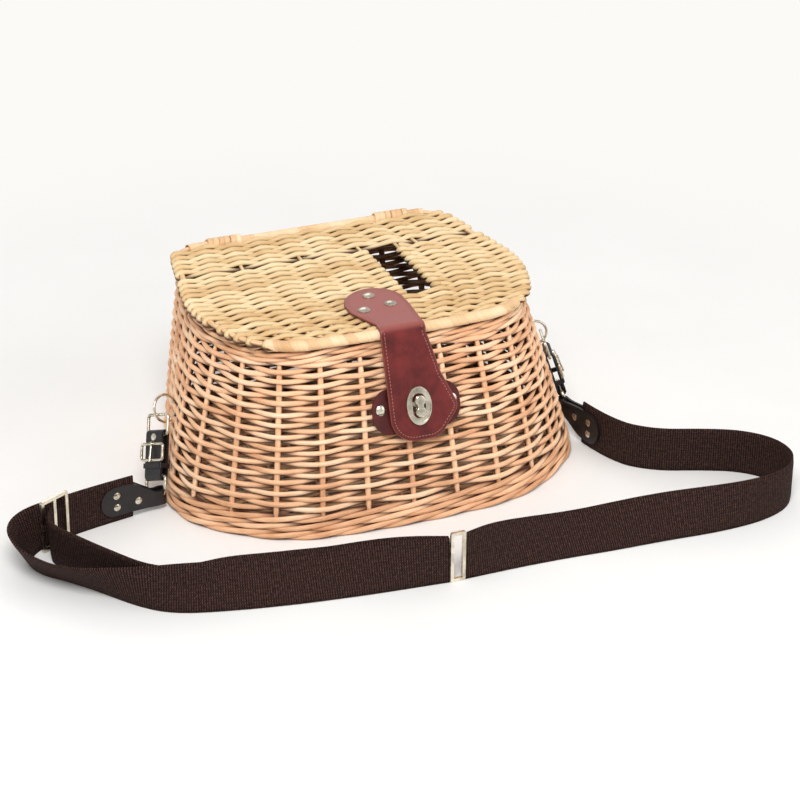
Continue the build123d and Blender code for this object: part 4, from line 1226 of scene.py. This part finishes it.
class CreelSettings(bpy.types.PropertyGroup):
    """Sizes and colours of the creel's woven parts, leather and strap."""
    weaver_radius: size_setting(
        "Weaver radius", "Half the thickness of the wall's weavers", 0.00212)
    stake_radius: size_setting(
        "Stake radius", "Half the thickness of the wall's upright stakes", 0.0026)
    lid_wave: size_setting(
        "Lid wave", "How far the lid's weavers rise over and dip under a stake", 0.0025)
    webbing_width: size_setting(
        "Webbing width", "Width of the shoulder strap's webbing", 0.038, 0.02, 0.05)
    webbing_thickness: size_setting(
        "Webbing thickness", "Thickness of the shoulder strap's webbing", 0.0022)
    willow_colour: colour_setting(
        "Basket willow", "Middle tone of the basket's willow", rgb(246, 196, 154))
    lid_colour: colour_setting(
        "Lid willow", "Middle tone of the lid's paler willow", rgb(232, 202, 154))
    cane_colour: colour_setting(
        "Cane", "Middle tone of the wrapped cane", rgb(240, 202, 158))
    leather_colour: colour_setting(
        "Strap leather", "Lighter tone of the closure strap's leather", rgb(120, 36, 32))
    webbing_colour: colour_setting(
        "Webbing", "Middle tone of the webbing's yarn", rgb(48, 32, 29))


class CREEL_OT_stage(bpy.types.Operator):
    """Make the camera, the pale floor and the soft light"""
    bl_idname = "creel.stage"
    bl_label = "Stage"

    def execute(self, context):
        build_stage()
        return {"FINISHED"}


class CREEL_OT_webbing(bpy.types.Operator):
    """Lay the three strands of the shoulder strap"""
    bl_idname = "creel.webbing"
    bl_label = "Shoulder strap"

    def execute(self, context):
        build_webbing(context.scene.creel)
        return {"FINISHED"}


class CREEL_OT_wall(bpy.types.Operator):
    """Weave the basket's wall and twist its two borders"""
    bl_idname = "creel.wall"
    bl_label = "Wall and borders"

    def execute(self, context):
        build_wall(context.scene.creel)
        return {"FINISHED"}


class CREEL_OT_floor(bpy.types.Operator):
    """Weave the basket's floor"""
    bl_idname = "creel.floor"
    bl_label = "Floor"

    def execute(self, context):
        build_floor()
        return {"FINISHED"}


class CREEL_OT_lid(bpy.types.Operator):
    """Weave the lid, wrap its edge and bind its slot"""
    bl_idname = "creel.lid"
    bl_label = "Lid"

    def execute(self, context):
        build_lid(context.scene.creel)
        return {"FINISHED"}


class CREEL_OT_loops(bpy.types.Operator):
    """Wind the two cane loops that hinge the lid"""
    bl_idname = "creel.loops"
    bl_label = "Hinge loops"

    def execute(self, context):
        build_hinge_loops()
        return {"FINISHED"}


class CREEL_OT_closure(bpy.types.Operator):
    """Cut and bend the leather closure strap"""
    bl_idname = "creel.closure"
    bl_label = "Closure strap"

    def execute(self, context):
        build_closure()
        return {"FINISHED"}


class CREEL_OT_fittings(bpy.types.Operator):
    """Finish the metal fittings and the small leathers"""
    bl_idname = "creel.fittings"
    bl_label = "Fittings"

    def execute(self, context):
        build_metal()
        return {"FINISHED"}


class CREEL_PT_panel(bpy.types.Panel):
    """Lists the creel's settings and its steps in the order in which they are made"""
    bl_idname = "CREEL_PT_panel"
    bl_label = "Fishing creel"
    bl_space_type = "VIEW_3D"
    bl_region_type = "UI"
    bl_category = "Creel"

    def draw(self, context):
        for name in CreelSettings.__annotations__:
            self.layout.prop(context.scene.creel, name)
        for step in STEPS:
            self.layout.operator(step.bl_idname)


STEPS = (CREEL_OT_stage, CREEL_OT_webbing, CREEL_OT_wall, CREEL_OT_floor, CREEL_OT_lid,
         CREEL_OT_loops, CREEL_OT_closure, CREEL_OT_fittings)
CLASSES = (CreelSettings,) + STEPS + (CREEL_PT_panel,)


def register():
    """Makes the settings, the operators and the panel known to Blender."""
    for item in CLASSES:
        bpy.utils.register_class(item)
    bpy.types.Scene.creel = bpy.props.PointerProperty(type=CreelSettings)


def unregister():
    """Takes them away again."""
    del bpy.types.Scene.creel
    for item in reversed(CLASSES):
        bpy.utils.unregister_class(item)


def main():
    """Builds every piece in order."""
    register()
    for step in STEPS:
        getattr(bpy.ops.creel, step.bl_idname.split(".")[1])()


if __name__ == "__main__":
    main()
